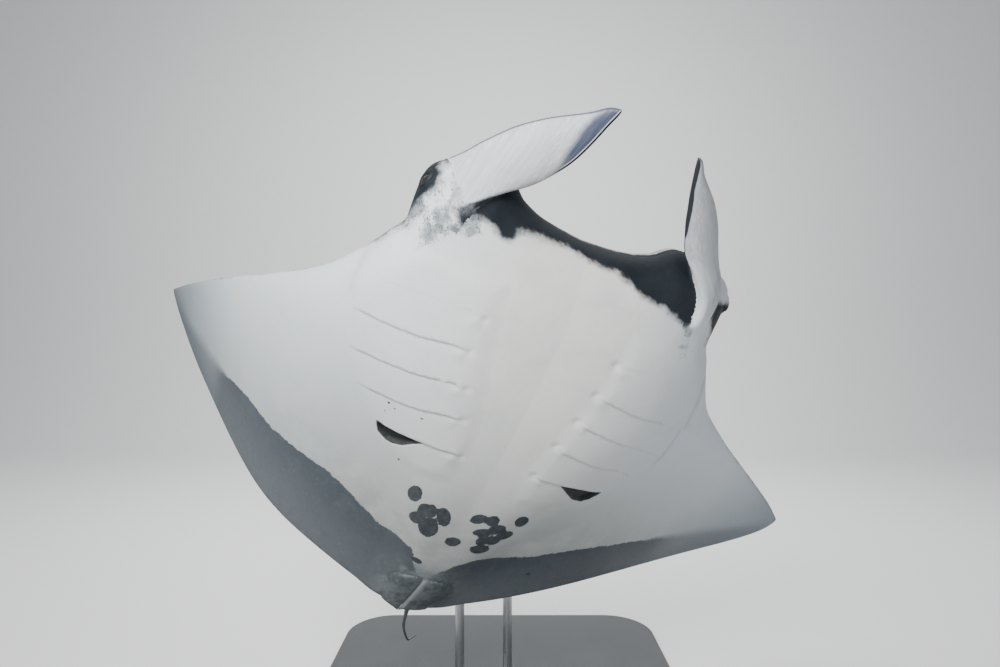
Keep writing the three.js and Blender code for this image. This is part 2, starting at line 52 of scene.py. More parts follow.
POSE_DEG = (-65.47, -5.08, -156.24)
BODY_AT = (0.024, -0.678, 1.585)

STROKE_AT = [0, 0.06, 0.12, 0.22, 0.34, 0.5]
SLOPE_RIGHT = [0, 2.5, 8.4, 43, 53.8, 67]
SLOPE_LEFT = [0, 3.5, 11.6, 21, 21.3, 43.8]
TWIST = {1: -3.9, -1: 8.0}
SWEEP = {1: 0.243, -1: 0.285}
TWIST_AXIS_Y = -0.03

FRONT = [
    (0.0, 0.0, 0.172, 0.0), (0.07, 0.035, 0.175, 0.03), (0.14, 0.06, 0.183, 0.055), (0.19, 0.078, 0.1955, 0.072),
    (0.24, 0.1, 0.1972, 0.088), (0.29, 0.121, 0.1942, 0.103), (0.33, 0.138, 0.188, 0.116), (0.37, 0.1448, 0.1727, 0.128),
    (0.41, 0.1455, 0.155, 0.139), (0.45, 0.1452, 0.138, 0.15), (0.5, 0.155, 0.121, 0.163), (0.55, 0.178, 0.092, 0.182),
    (0.6, 0.2, 0.0705, 0.204), (0.7, 0.262, 0.037, 0.262), (0.8, 0.34, 0.003, 0.338), (0.9, 0.427, -0.034, 0.425),
    (0.96, 0.476, -0.0545, 0.4755), (1.0, 0.4975, -0.0628, 0.4975),
]
REAR_S = [0, 0.02, 0.035, 0.06, 0.09, 0.13, 0.22, 0.32, 0.42, 0.47, 0.4975]
REAR_Y = [-0.2545, -0.2545, -0.2515, -0.239, -0.2246, -0.2055, -0.1638, -0.1213, -0.0865, -0.0738, -0.0676]
KEEL_Y = [-0.262, -0.23, -0.17, -0.1, -0.03, 0.04, 0.1, 0.15, 0.2]
KEEL_BELLY = [0.003, 0.009, 0.02, 0.032, 0.04, 0.044, 0.041, 0.033, 0.024]
KEEL_BACK = [0.003, 0.012, 0.027, 0.041, 0.051, 0.054, 0.047, 0.033, 0.02]
KEEL_WIDTH = [0.02, 0.028, 0.045, 0.075, 0.115, 0.15, 0.17, 0.18, 0.18]
HALF_S = [0, 0.12, 0.2, 0.3, 0.4, 0.47, 0.5]
HALF_T = [0.01, 0.0125, 0.0098, 0.0062, 0.0036, 0.002, 0.0013]
HEAD_ROUND = 0.034
EDGE_HALF = 0.0007
EDGE_ROUND = 0.0022
CURVE = [(0.003, 0.07, 0.18), (0.004, -0.12, -0.24)]

HORN_T = [0, 0.1, 0.2, 0.3, 0.45, 0.6, 0.75, 0.9, 0.97, 1]
HORN_INNER = [(0.11, 0.145), (0.105, 0.168), (0.09, 0.185), (0.0715, 0.199), (0.0575, 0.217), (0.0492, 0.232), (0.0434, 0.248), (0.0386, 0.2645), (0.0361, 0.2723), (0.0354, 0.2758)]
HORN_OUTER = [(0.13, 0.145), (0.1335, 0.168), (0.131, 0.186), (0.1212, 0.2), (0.1065, 0.217), (0.0928, 0.233), (0.0755, 0.2495), (0.052, 0.267), (0.041, 0.2763), (0.0361, 0.2775)]
HORN_HALF = [0.014, 0.0125, 0.0105, 0.0085, 0.0062, 0.0048, 0.0036, 0.0024, 0.0018, 0.0015]
HORN_DROP = [0.034, 0.027, 0.013, 0.0015, 0, 0, 0, 0, 0, 0]
HORN_LEAN, HORN_THROUGH, HORN_CUP, HORN_ROOT = 0.504, (0.093, -0.012), 0.004, 0.19
MOUTH_HALF, ROOT_SINK = 0.088, 0.0045
# how far each edge of the two fins is shifted outward from those, at the same t
OUTER_BY = {
    1: [0, 0.003, 0.0058, 0.004, 0.006, 0.0062, 0.0046, 0.002, 0.0006, 0],
    -1: [-0.001, -0.006, -0.0088, -0.0095, -0.0075, -0.0052, -0.004, -0.005, -0.003, -0.0012],
}
INNER_BY = {1: [0] * 10, -1: [-0.006, -0.0051, -0.003, 0, 0.0022, 0.0022, 0.0005, -0.0012, -0.0014, -0.0012]}
HORN_REACH = {1: 1.005, -1: 0.925}
EYE_AT, EYE_RADIUS = (0.1372, 0.168, -0.002), 0.0075
TAIL_PATH = [(0, -0.222, 0.0), (0.0006, -0.25, -0.0005), (-0.0025, -0.268, 0.001), (-0.012, -0.304, 0.019), (-0.0275, -0.3446, 0.046), (-0.045, -0.3832, 0.0734), (-0.0571, -0.4049, 0.0979), (-0.0662, -0.4155, 0.1133)]
TAIL_RADIUS = [0.008, 0.005, 0.0023, 0.0017, 0.0014, 0.0012, 0.001, 0.0008]
DORSAL_FROM, DORSAL_TO, DORSAL_HEIGHT, DORSAL_HALF = -0.247, -0.198, 0.024, 0.0026
PELVIC_T = [0, 0.15, 0.4, 0.7, 0.88, 0.93, 0.97, 1]
PELVIC_INNER = {1: [-0.0002, 0.0004, 0.0015, 0.003, 0.0049, 0.0055, 0.0062, 0.0067], -1: [0.0004, -0.0002, -0.0013, -0.0028, -0.0047, -0.0053, -0.006, -0.0065]}
PELVIC_OUTER = {1: [0.012, 0.03, 0.0325, 0.0295, 0.027, 0.02, 0.012, 0.0076], -1: [0.013, 0.034, 0.036, 0.0255, 0.0222, 0.01, -0.0015, -0.0058]}
PELVIC_FRONT, PELVIC_REAR, PELVIC_HALF, PELVIC_BELOW = -0.2, -0.2583, 0.0013, 0.0011


def through(xs, ys):
    """A smooth curve through (x, y) that never overshoots its values."""
    xs, ys = np.asarray(xs, float), np.asarray(ys, float)
    h = np.diff(xs)
    d = np.diff(ys) / h
    m = np.zeros(len(xs))

    def end(h0, h1, d0, d1):
        e = ((2 * h0 + h1) * d0 - h0 * d1) / (h0 + h1)
        if e * d0 <= 0:
            return 0.0
        if d0 * d1 <= 0 and abs(e) > 3 * abs(d0):
            return 3 * d0
        return e

    if len(xs) > 2:
        for i in range(1, len(xs) - 1):
            if d[i - 1] * d[i] > 0:
                a, b = 2 * h[i] + h[i - 1], h[i] + 2 * h[i - 1]
                m[i] = (a + b) / (a / d[i - 1] + b / d[i])
        m[0] = end(h[0], h[1], d[0], d[1])
        m[-1] = end(h[-1], h[-2], d[-1], d[-2])
    else:
        m[:] = d[0]

    def f(x):
        x = np.clip(np.asarray(x, float), xs[0], xs[-1])
        i = np.clip(np.searchsorted(xs, x, side="right") - 1, 0, len(h) - 1)
        t = (x - xs[i]) / h[i]
        return ((1 + 2 * t) * (1 - t) ** 2 * ys[i] + t * (1 - t) ** 2 * h[i] * m[i]
                + t * t * (3 - 2 * t) * ys[i + 1] + t * t * (t - 1) * h[i] * m[i + 1])

    return f


def column(rows, k):
    return [r[k] for r in rows]


front_s = through(column(FRONT, 0), column(FRONT, 1))
front_y = through(column(FRONT, 0), column(FRONT, 2))
rear_s = through(column(FRONT, 0), column(FRONT, 3))
rear_y = through(REAR_S, REAR_Y)
keel_belly = through(KEEL_Y, KEEL_BELLY)
keel_back = through(KEEL_Y, KEEL_BACK)
keel_width = through(KEEL_Y, KEEL_WIDTH)
wing_half = through(HALF_S, HALF_T)


def bend_table(slopes):
    slope = through(STROKE_AT, np.radians(slopes))
    at = (np.arange(200) + 0.5) / 200 * 0.5
    a = slope(at)
    x = np.concatenate([[0], np.cumsum(np.cos(a)) * 0.5 / 200])
    z = np.concatenate([[0], np.cumsum(np.sin(a)) * 0.5 / 200])
    return slope, x, z


BEND = {1: bend_table(SLOPE_RIGHT), -1: bend_table(SLOPE_LEFT)}
BEND_AT = np.linspace(0, 0.5, 201)


def ease(t):
    t = np.clip(t, 0, 1)
    return t * t * (3 - 2 * t)


def aside(y):
    return sum(by * ease((y - a) / (b - a)) for by, a, b in CURVE)


def bent(X, Y, off):
    """Flat disc points, lifted by `off` along the disc's own normal, as they lie in the wing stroke."""
    X, Y, off = np.broadcast_arrays(np.asarray(X, float), np.asarray(Y, float), np.asarray(off, float))
    out = np.zeros(X.shape + (3,))
    for side in (1, -1):
        m = X >= 0 if side == 1 else X < 0
        s, y, o = np.abs(X[m]), Y[m], off[m]
        slope, bx, bz = BEND[side]
        a = slope(s)
        tw = math.radians(TWIST[side]) * np.maximum(0, (s - 0.15) / 0.35) ** 1.5
        arm = y - TWIST_AXIS_Y
        lift = arm * np.sin(tw) + o
        z = np.interp(s, BEND_AT, bz) + np.cos(a) * lift
        out[m, 0] = side * (np.interp(s, BEND_AT, bx) - np.sin(a) * lift) + aside(y)
        out[m, 1] = TWIST_AXIS_Y + arm * np.cos(tw) - SWEEP[side] * np.maximum(0, z - o * np.cos(a))
        out[m, 2] = z
    return out


def polyline_distance(line, P, closed=False):
    """Distance from each point of P to a polyline, and how far along the line (0 to 1) the nearest point is,
    and on which side of it (+1 is left of its direction)."""
    A = np.asarray(line, float)
    if closed:
        A = np.vstack([A, A[:1]])
    seg = np.diff(A, axis=0)
    length = np.hypot(seg[:, 0], seg[:, 1])
    start = np.concatenate([[0], np.cumsum(length)])
    best = np.full(len(P), np.inf)
    along = np.zeros(len(P))
    side = np.ones(len(P))
    for i in range(len(seg)):
        w = P - A[i]
        t = np.clip((w @ seg[i]) / max(length[i] ** 2, 1e-18), 0, 1)
        d = np.hypot(w[:, 0] - t * seg[i, 0], w[:, 1] - t * seg[i, 1])
        near = d < best
        best[near] = d[near]
        along[near] = (start[i] + t[near] * length[i]) / start[-1]
        side[near] = np.where(seg[i, 0] * w[near, 1] - seg[i, 1] * w[near, 0] >= 0, 1, -1)
    return best, along, side


_u = np.linspace(0, 1, 161)
FRONT_RIM = np.stack([front_s(_u), front_y(_u)], -1)
REAR_RIM = np.stack([rear_s(_u), rear_y(rear_s(_u))], -1)


def rim_distances(X, Y):
    P = np.stack([np.abs(X), Y], -1)
    return polyline_distance(FRONT_RIM, P)[0], polyline_distance(REAR_RIM, P)[0]


def foil(c):
    return 10 * (0.2969 * np.sqrt(c) - 0.126 * c - 0.3516 * c**2 + 0.2843 * c**3 - 0.1036 * c**4)


def rounded(d, r):
    return np.where(d >= r, 1, np.sqrt(np.maximum(0, 1 - (1 - np.minimum(d, r) / r) ** 2)))


def halves(X, Y):
    """How far the belly and the back stand off the disc's middle."""
    s = np.abs(X)
    front, rear = rim_distances(X, Y)
    c = front / np.maximum(front + rear, 1e-9)
    bulk = rounded(front, HEAD_ROUND) / (1 + (s / keel_width(Y)) ** 4)
    wing = wing_half(s) * np.maximum(foil(c), 0)
    edge = EDGE_HALF * np.minimum(1, front / 0.004)
    trim = rounded(rear, EDGE_ROUND)
    belly = (keel_belly(Y) * bulk + 0.9 * wing + edge) * trim
    back = (keel_back(Y) * bulk + 1.1 * wing + edge) * trim
    return belly, back, front, rear


def rotation(deg):
    x, y, z = (math.radians(d) for d in deg)
    rx = np.array([[1, 0, 0], [0, math.cos(x), -math.sin(x)], [0, math.sin(x), math.cos(x)]])
    ry = np.array([[math.cos(y), 0, math.sin(y)], [0, 1, 0], [-math.sin(y), 0, math.cos(y)]])
    rz = np.array([[math.cos(z), -math.sin(z), 0], [math.sin(z), math.cos(z), 0], [0, 0, 1]])
    return rx @ ry @ rz


POSE = rotation(POSE_DEG)


def to_room(P):
    """Body points, in disc widths, to the room, in metres."""
    return (np.asarray(P) * WIDTH) @ POSE.T + np.array(BODY_AT)


# ==== end of shape ================================================================================


# ==== the disc's mesh =============================================================================
def stitch(a, b, ta, tb):
    """Triangles between two rows of vertices, each with its own count."""
    out, i, j = [], 0, 0
    while i < len(a) - 1 or j < len(b) - 1:
        if j == len(b) - 1 or (i < len(a) - 1 and ta[i + 1] <= tb[j + 1]):
            out.append((a[i], a[i + 1], b[j]))
            i += 1
        else:
            out.append((a[i], b[j + 1], b[j]))
            j += 1
    return out


def resample(line, step):
    """A polyline again, at even steps (in metres), as flat points."""
    A = np.asarray(line, float)
    cum = np.concatenate([[0], np.cumsum(np.hypot(*np.diff(A, axis=0).T))])
    n = max(2, int(round(cum[-1] * WIDTH / step)) + 1)
    t = np.linspace(0, cum[-1], n)
    return np.stack([through(cum, A[:, 0])(t), through(cum, A[:, 1])(t)], -1)


def offset_line(A, by):
    """A polyline moved to its left by `by` metres."""
    t = np.gradient(A, axis=0)
    t /= np.hypot(t[:, 0], t[:, 1])[:, None]
    return A + np.stack([-t[:, 1], t[:, 0]], -1) * by / WIDTH


# the front edge, in columns from the midline to the right tip
_u = np.linspace(0, 1, 6001)
_S, _Y = front_s(_u), front_y(_u)
_step = np.interp(_u, [0, 0.46, 0.56, 0.7, 0.93, 1.0], [0.008, 0.008, 0.011, 0.016, 0.018, 0.007])
_cum = np.concatenate([[0], np.cumsum(np.hypot(np.diff(_S), np.diff(_Y)) * WIDTH / _step[1:])])
_count = int(round(_cum[-1]))
col_u = np.interp(np.linspace(0, _cum[-1], _count + 1), _cum, _u)
col_s, col_y = front_s(col_u), front_y(col_u)
# inward normals, smoothed along the edge; the left half is the mirror of the right
_arc = np.concatenate([[0], np.cumsum(np.hypot(np.diff(_S), np.diff(_Y)))])
_at = np.linspace(-_arc[-1], _arc[-1], 4001)
_sx = np.sign(_at) * np.interp(np.abs(_at), _arc, _S)
_sy = np.interp(np.abs(_at), _arc, _Y)
_tan = np.stack([np.gradient(_sx), np.gradient(_sy)], -1)
_ker = np.exp(-0.5 * (np.arange(-40, 41) / 13.0) ** 2)
_ker /= _ker.sum()
_tan = np.stack([np.convolve(np.pad(_tan[:, k], 40, mode="edge"), _ker, mode="valid") for k in (0, 1)], -1)
_tan /= np.hypot(_tan[:, 0], _tan[:, 1])[:, None]
_col_arc = np.interp(col_u, _u, _arc)
col_n = np.stack([np.interp(_col_arc, _at, _tan[:, 1]), -np.interp(_col_arc, _at, _tan[:, 0])], -1)
col_n[0] = (0, -1)
col_n /= np.hypot(col_n[:, 0], col_n[:, 1])[:, None]
col_chord = np.hypot(rear_s(col_u) - col_s, rear_y(rear_s(col_u)) - col_y) * WIDTH


def depths(i, k_head):
    """How far in from the edge each layer of column i lies, in metres."""
    u = col_u[i]
    w = float(ease((u - 0.42) / 0.16))
    k = int(round(np.interp(u, [0, 0.5, 0.62, 0.85, 0.97, 1], [k_head, k_head, k_head * 0.65, k_head * 0.5, 3, 2])))
    f = np.arange(1, k + 1) / k
    head = HEAD_ROUND * WIDTH * (1 - np.sqrt(1 - (0.84 * f) ** 2))
    wing = min(0.05, 0.28 * col_chord[i]) * f**2
    return (1 - w) * head + w * wing


def inside(P, poly):
    out = np.zeros(len(P), bool)
    A, B = poly, np.roll(poly, -1, axis=0)
    for (x0, y0), (x1, y1) in zip(A, B):
        if y0 == y1:
            continue
        hit = (P[:, 1] > y0) != (P[:, 1] > y1)
        out[hit] ^= P[hit, 0] < (x1 - x0) * (P[hit, 1] - y0) / (y1 - y0) + x0
    return out


def lattice(step, lo, hi):
    """Points in even triangles over a box of flat space; step in metres."""
    d = step / WIDTH
    ys = np.arange(lo[1], hi[1], d * math.sqrt(3) / 2)
    rows = [np.stack([np.arange(lo[0] + (0.5 * d if k % 2 else 0), hi[0], d), np.full(len(np.arange(lo[0] + (0.5 * d if k % 2 else 0), hi[0], d)), y)], -1) for k, y in enumerate(ys)]
    return np.concatenate(rows)


def spread(poly, fixed, levels):
    """Points inside a polygon: each level is (step, test of where it goes), fine ones first."""
    kept = [np.asarray(fixed)]
    added = []
    lo, hi = poly.min(0), poly.max(0)
    for step, where in levels:
        P = lattice(step, lo, hi)
        P = P[where(P)]
        P = P[inside(P, poly)]
        have = np.concatenate(kept)
        tree = KDTree(len(have))
        for k, p in enumerate(have):
            tree.insert((p[0], p[1], 0), k)
        tree.balance()
        far = np.array([tree.find((p[0], p[1], 0))[2] for p in P]) * WIDTH > 0.72 * step
        P = P[far]
        kept.append(P)
        added.append(P)
    return np.concatenate(added)


def densify(poly, step):
    out = []
    for a, b in zip(poly, np.roll(poly, -1, axis=0)):
        n = max(1, int(math.ceil(np.hypot(*(b - a)) * WIDTH / step)))
        out += [a + (b - a) * k / n for k in range(n)]
    return np.array(out)


class Flat:
    """Vertices and triangles of the disc, in flat space, with the sheet each belongs to."""

    def __init__(self):
        self.P, self.sheet, self.rim, self.tri, self.tri_sheet = [], [], [], [], []

    def add(self, p, sheet, rim=0.0):
        self.P.append((float(p[0]), float(p[1])))
        self.sheet.append(sheet)
        self.rim.append(rim)
        return len(self.P) - 1


def build_flat(lines):
    F = Flat()
    n = len(col_u)
    order = [(-1, i) for i in range(n - 1, 0, -1)] + [(1, i) for i in range(n)]
    rim = {c: F.add((c[0] * col_s[c[1]], col_y[c[1]]), 0) for c in order}
    # the rear edge from the right tip to the left one
    s = [0.4975]
    while s[-1] > 0:
        s.append(s[-1] - np.interp(s[-1], [0, 0.05, 0.09, 0.47, 0.4975], [0.008, 0.008, 0.014, 0.016, 0.008]) / WIDTH)
    s = np.array(s[:-1])
    s = np.concatenate([s[s > 0.003 / WIDTH], [0]])
    rear = [(x, float(rear_y(x))) for x in s] + [(-x, float(rear_y(x))) for x in s[-2::-1]]
    tip = [(0.4977, -0.065)]
    rear_ids = [F.add(p, 0) for p in tip] + [F.add(p, 0) for p in rear] + [F.add((-p[0], p[1]), 0) for p in tip]
    for sheet, k_head in ((-1, 14), (1, 9)):
        rows = {}
        for c in order:
            side, i = c
            d = depths(i, k_head)
            if i == n - 1:
                d = d * 0
            ids, prev = [rim[c]], rim[c]
            for k, dk in enumerate(d):
                if i == n - 1:
                    break
                p = (side * (col_s[i] + col_n[i, 0] * dk / WIDTH), col_y[i] + col_n[i, 1] * dk / WIDTH)
                ids.append(F.add(p, sheet, dk))
            rows[c] = ids
        for a, b in zip(order, order[1:]):
            A, B = rows[a], rows[b]
            ta = np.linspace(0, 1, len(A)) if len(A) > 1 else [0.0]
            tb = np.linspace(0, 1, len(B)) if len(B) > 1 else [0.0]
            for t in stitch(A, B, ta, tb):
                F.tri.append(t)
                F.tri_sheet.append(sheet)
        loop = [rows[c][-1] for c in order] + rear_ids
        poly = np.array([F.P[k] for k in loop])
        fixed = [poly[k] for k in range(len(poly))]
        # rows of points just inside the rear edge
        near = []
        R = np.array(rear)
        for by in (0.0035, 0.0095):
            q = offset_line(R, -by)
            q = q[np.abs(q[:, 0]) < 0.487]
            near.append(q)
        near = np.concatenate(near)
        near = near[inside(near, poly)]
        edges, extra = [], []
        if sheet == -1:
            for line in lines:
                start = len(extra)
                extra += [tuple(p) for p in line]
                edges += [(start + k, start + k + 1) for k in range(len(line) - 1)]
            levels = [
                (0.0078, lambda P: (np.abs(P[:, 0]) < 0.172) & (P[:, 1] > -0.062)),
                (0.0115, lambda P: (np.abs(P[:, 0]) < 0.19) & (P[:, 1] > -0.1) | (np.abs(P[:, 0]) < 0.05) & (P[:, 1] < -0.17)),
                (0.0175, lambda P: np.ones(len(P), bool)),
            ]
        else:
            levels = [
                (0.011, lambda P: (np.abs(P[:, 0]) < 0.155) & (P[:, 1] > 0.12) | (np.abs(P[:, 0]) < 0.03) & (P[:, 1] < -0.18)),
                (0.0185, lambda P: np.ones(len(P), bool)),
            ]
        given = np.array(fixed + [tuple(p) for p in near] + extra)
        free = spread(densify(poly, 0.006), np.concatenate([densify(poly, 0.006), near] + ([np.array(extra)] if extra else [])), levels)
        allp = np.concatenate([given, free])
        m = len(fixed)
        cons = [(k, (k + 1) % m) for k in range(m)] + [(a + m + len(near), b + m + len(near)) for a, b in edges]
        verts, _, faces, origin, _, _ = delaunay_2d_cdt([Vector(p) for p in allp], cons, [], 0, 1e-7, True)
        faces = np.array(faces)
        flat = np.array([tuple(v) for v in verts])
        faces = faces[inside(flat[faces].mean(1), poly)]
        ids = []
        for k, v in enumerate(verts):
            first = min(origin[k]) if len(origin[k]) else m
            ids.append(loop[first] if first < m else F.add(v, sheet, -1.0))
        for f in faces:
            F.tri.append(tuple(ids[k] for k in f))
            F.tri_sheet.append(sheet)
    F.P = np.array(F.P)
    F.sheet = np.array(F.sheet)
    F.tri = np.array(F.tri)
    F.tri_sheet = np.array(F.tri_sheet)
    # an ear with all its corners on the edge is in both sheets: take out both
    key = np.sort(F.tri, axis=1)
    _, back, count = np.unique(key, axis=0, return_inverse=True, return_counts=True)
    single = count[back.ravel()] == 1
    F.tri, F.tri_sheet = F.tri[single], F.tri_sheet[single]
    # turn each triangle so that it faces out
    A, B, C = (F.P[F.tri[:, k]] for k in range(3))
    area = (B[:, 0] - A[:, 0]) * (C[:, 1] - A[:, 1]) - (B[:, 1] - A[:, 1]) * (C[:, 0] - A[:, 0])
    wrong = np.sign(area) != F.tri_sheet
    F.tri[wrong] = F.tri[wrong][:, ::-1]
    return F


# ==== fins and tail ===============================================================================
def loft(loops):
    """A closed skin through loops that all have the same count, capped at both ends."""
    n, k = len(loops), len(loops[0])
    V = [p for loop in loops for p in loop]
    T = []
    for i in range(n - 1):
        for j in range(k):
            a, b = i * k + j, i * k + (j + 1) % k
            c, d = a + k, b + k
            T += [(a, b, d), (a, d, c)]
    for i, flip in ((0, True), (n - 1, False)):
        V.append(np.mean(loops[i], axis=0))
        m = len(V) - 1
        for j in range(k):
            a, b = i * k + j, i * k + (j + 1) % k
            T.append((m, b, a) if flip else (m, a, b))
    return np.array(V), np.array(T)


horn_ix, horn_iy = through(HORN_T, column(HORN_INNER, 0)), through(HORN_T, column(HORN_INNER, 1))
horn_ox, horn_oy = through(HORN_T, column(HORN_OUTER, 0)), through(HORN_T, column(HORN_OUTER, 1))
horn_half, horn_drop = through(HORN_T, HORN_HALF), through(HORN_T, HORN_DROP)


def horn(side, stations=72, around=26):
    """The fin beside the mouth. Each vertex also has t (root to tip), q (inner to outer edge) and its face:
    +1 on the pale side, -1 on the dark one."""
    norm = math.hypot(HORN_LEAN, 1)
    outer_by, inner_by = through(HORN_T, OUTER_BY[side]), through(HORN_T, INNER_BY[side])
    n = np.array([HORN_LEAN / norm, 0, -1 / norm])
    loops, marks = [], []
    for i in range(stations + 1):
        t = math.sin((i / stations) * math.pi / 2) ** 1.25

        def far(y):
            return HORN_ROOT + (y - HORN_ROOT) * (HORN_REACH[side] if y > HORN_ROOT else 1)

        a = np.array([float(horn_ix(t)) + float(inner_by(t)), far(float(horn_iy(t))), 0])
        b = np.array([float(horn_ox(t)) + float(outer_by(t)), far(float(horn_oy(t))), 0])
        for p in (a, b):
            p[2] = HORN_LEAN * (p[0] - HORN_THROUGH[0]) + HORN_THROUGH[1]
        a[2] -= float(horn_drop(t))
        half = float(horn_half(t))
        pale, dark, mp, md = [], [], [], []
        for j in range(around + 1):
            q = -math.cos(math.pi * j / around)
            p = a + (b - a) * (q + 1) / 2
            bulge = math.sqrt(max(0, 1 - q * q))
            p = p + n * (HORN_CUP * (1 - q * q) * math.sin(math.pi * t) - ROOT_SINK * float(1 - ease(t / 0.14)))
            pale.append(p + n * half * bulge)
            mp.append((t, q, bulge))
            if 0 < j < around:
                dark.append(p - n * half * bulge)
                md.append((t, q, -bulge))
        loops.append([p * (side, 1, 1) for p in pale + dark[::-1]])
        marks.append(mp + md[::-1])
    V, T = loft(loops)
    k = len(loops[0])
    m = np.array([x for row in marks for x in row] + [(0, 0, 0), (1, 0, 0)])
    if side > 0:
        T = T[:, ::-1]
    return V, T, m


def catmull(points, ts):
    """Centripetal Catmull-Rom, its parameter spread evenly over the points."""
    P = np.asarray(points, float)
    n = len(P)
    out = []
    for t in ts:
        p = (n - 1) * t
        i = min(int(math.floor(p)), n - 2)
        w = p - i
        p0 = P[i - 1] if i > 0 else 2 * P[0] - P[1]
        p1, p2 = P[i], P[i + 1]
        p3 = P[i + 2] if i + 2 < n else 2 * P[n - 1] - P[n - 2]
        d0, d1, d2 = (max(np.linalg.norm(b - a), 1e-9) ** 0.5 for a, b in ((p0, p1), (p1, p2), (p2, p3)))
        t1 = ((p1 - p0) / d0 - (p2 - p0) / (d0 + d1) + (p2 - p1) / d1) * d1
        t2 = ((p2 - p1) / d1 - (p3 - p1) / (d1 + d2) + (p3 - p2) / d2) * d1
        out.append(p1 + t1 * w + (-3 * p1 + 3 * p2 - 2 * t1 - t2) * w**2 + (2 * p1 - 2 * p2 + t1 + t2) * w**3)
    return np.array(out)


def tail(stations=110, sides=20):
    ts = np.linspace(0, 1, stations + 1)
    P = catmull(TAIL_PATH, ts)
    knots = np.arange(len(TAIL_PATH)) / (len(TAIL_PATH) - 1)
    radius = through(knots, TAIL_RADIUS)(ts)
    tan = np.gradient(P, axis=0)
    tan /= np.linalg.norm(tan, axis=1)[:, None]
    u = np.cross([1.0, 0, 0], tan)
    u /= np.linalg.norm(u, axis=1)[:, None]
    v = np.cross(tan, u)
    flat = np.where(ts < 0.2, 0.75 + 1.25 * ts, 1)
    a = 2 * np.pi * np.arange(sides) / sides
    loops = [[P[i] + u[i] * math.cos(x) * radius[i] * flat[i] + v[i] * math.sin(x) * radius[i] for x in a] for i in range(len(ts))]
    V, T = loft(loops)
    m = np.array([(ts[i], x / (2 * np.pi)) for i in range(len(ts)) for x in a] + [(0, 0), (1, 0)])
    return V, T, m


def dorsal(levels=22, around=14):
    ln = DORSAL_TO - DORSAL_FROM
    s = np.linspace(0, 1, 60)[:, None]

    def quad(a, c, b):
        a, b, c = map(np.array, (a, b, c))
        return a * (1 - s) ** 2 + 2 * c * s * (1 - s) + b * s**2

    top = (DORSAL_FROM - 0.05 * ln, DORSAL_HEIGHT + 0.009)
    lead = quad((DORSAL_TO, float(keel_back(DORSAL_TO)) * 0.9), (DORSAL_FROM + 0.45 * ln, 0.72 * DORSAL_HEIGHT + 0.01), top)
    trail = quad((DORSAL_FROM + 0.1 * ln, -0.006), (DORSAL_FROM - 0.02 * ln, 0.5 * DORSAL_HEIGHT), top)
    loops = []
    for i in range(levels + 1):
        z = 0.002 + (top[1] - 0.0007 - 0.002) * (1 - (1 - i / levels) ** 1.6)
        y1 = np.interp(z, lead[:, 1], lead[:, 0])
        y0 = np.interp(z, trail[:, 1], trail[:, 0])
        loop = []
        for j in range(2 * around):
            a = math.pi * j / around
            c = 0.5 - 0.5 * math.cos(a)
            half = DORSAL_HALF * (0.95 - 0.5 * i / levels) * math.sin(a) * (1.25 - 0.5 * c)
            loop.append(np.array([half, y1 + (y0 - y1) * c, z]))
        loops.append(loop)
    V, T = loft(loops)
    return V, T[:, ::-1]


def pelvic(side, stations=30, around=14):
    inner, outer = through(PELVIC_T, PELVIC_INNER[side]), through(PELVIC_T, PELVIC_OUTER[side])
    loops = []
    for i in range(stations + 1):
        t = 1 - (1 - i / stations) ** 1.5
        y = PELVIC_FRONT + (PELVIC_REAR - PELVIC_FRONT) * t
        half = PELVIC_HALF * (0.45 + 0.55 * math.sin(math.pi * min(1, t + 0.12)))
        q = -np.cos(np.pi * np.arange(around + 1) / around)
        b = np.sqrt(np.maximum(0, 1 - q * q))
        x = inner(t) + (outer(t) - inner(t)) * (q + 1) / 2
        z = -halves(x, np.full(len(x), max(y, -0.245)))[0] - PELVIC_BELOW * min(1, 0.3 + 2 * t)
        low = np.stack([x, np.full(len(x), y), z - half * b], -1)
        high = np.stack([x, np.full(len(x), y), z + half * b], -1)[1:-1]
        loop = np.concatenate([low, high[::-1]])
        loop[:, 0] = side * loop[:, 0] + aside(loop[:, 1])
        loops.append(loop)
    V, T = loft(loops)
    return V, (T if side > 0 else T[:, ::-1])


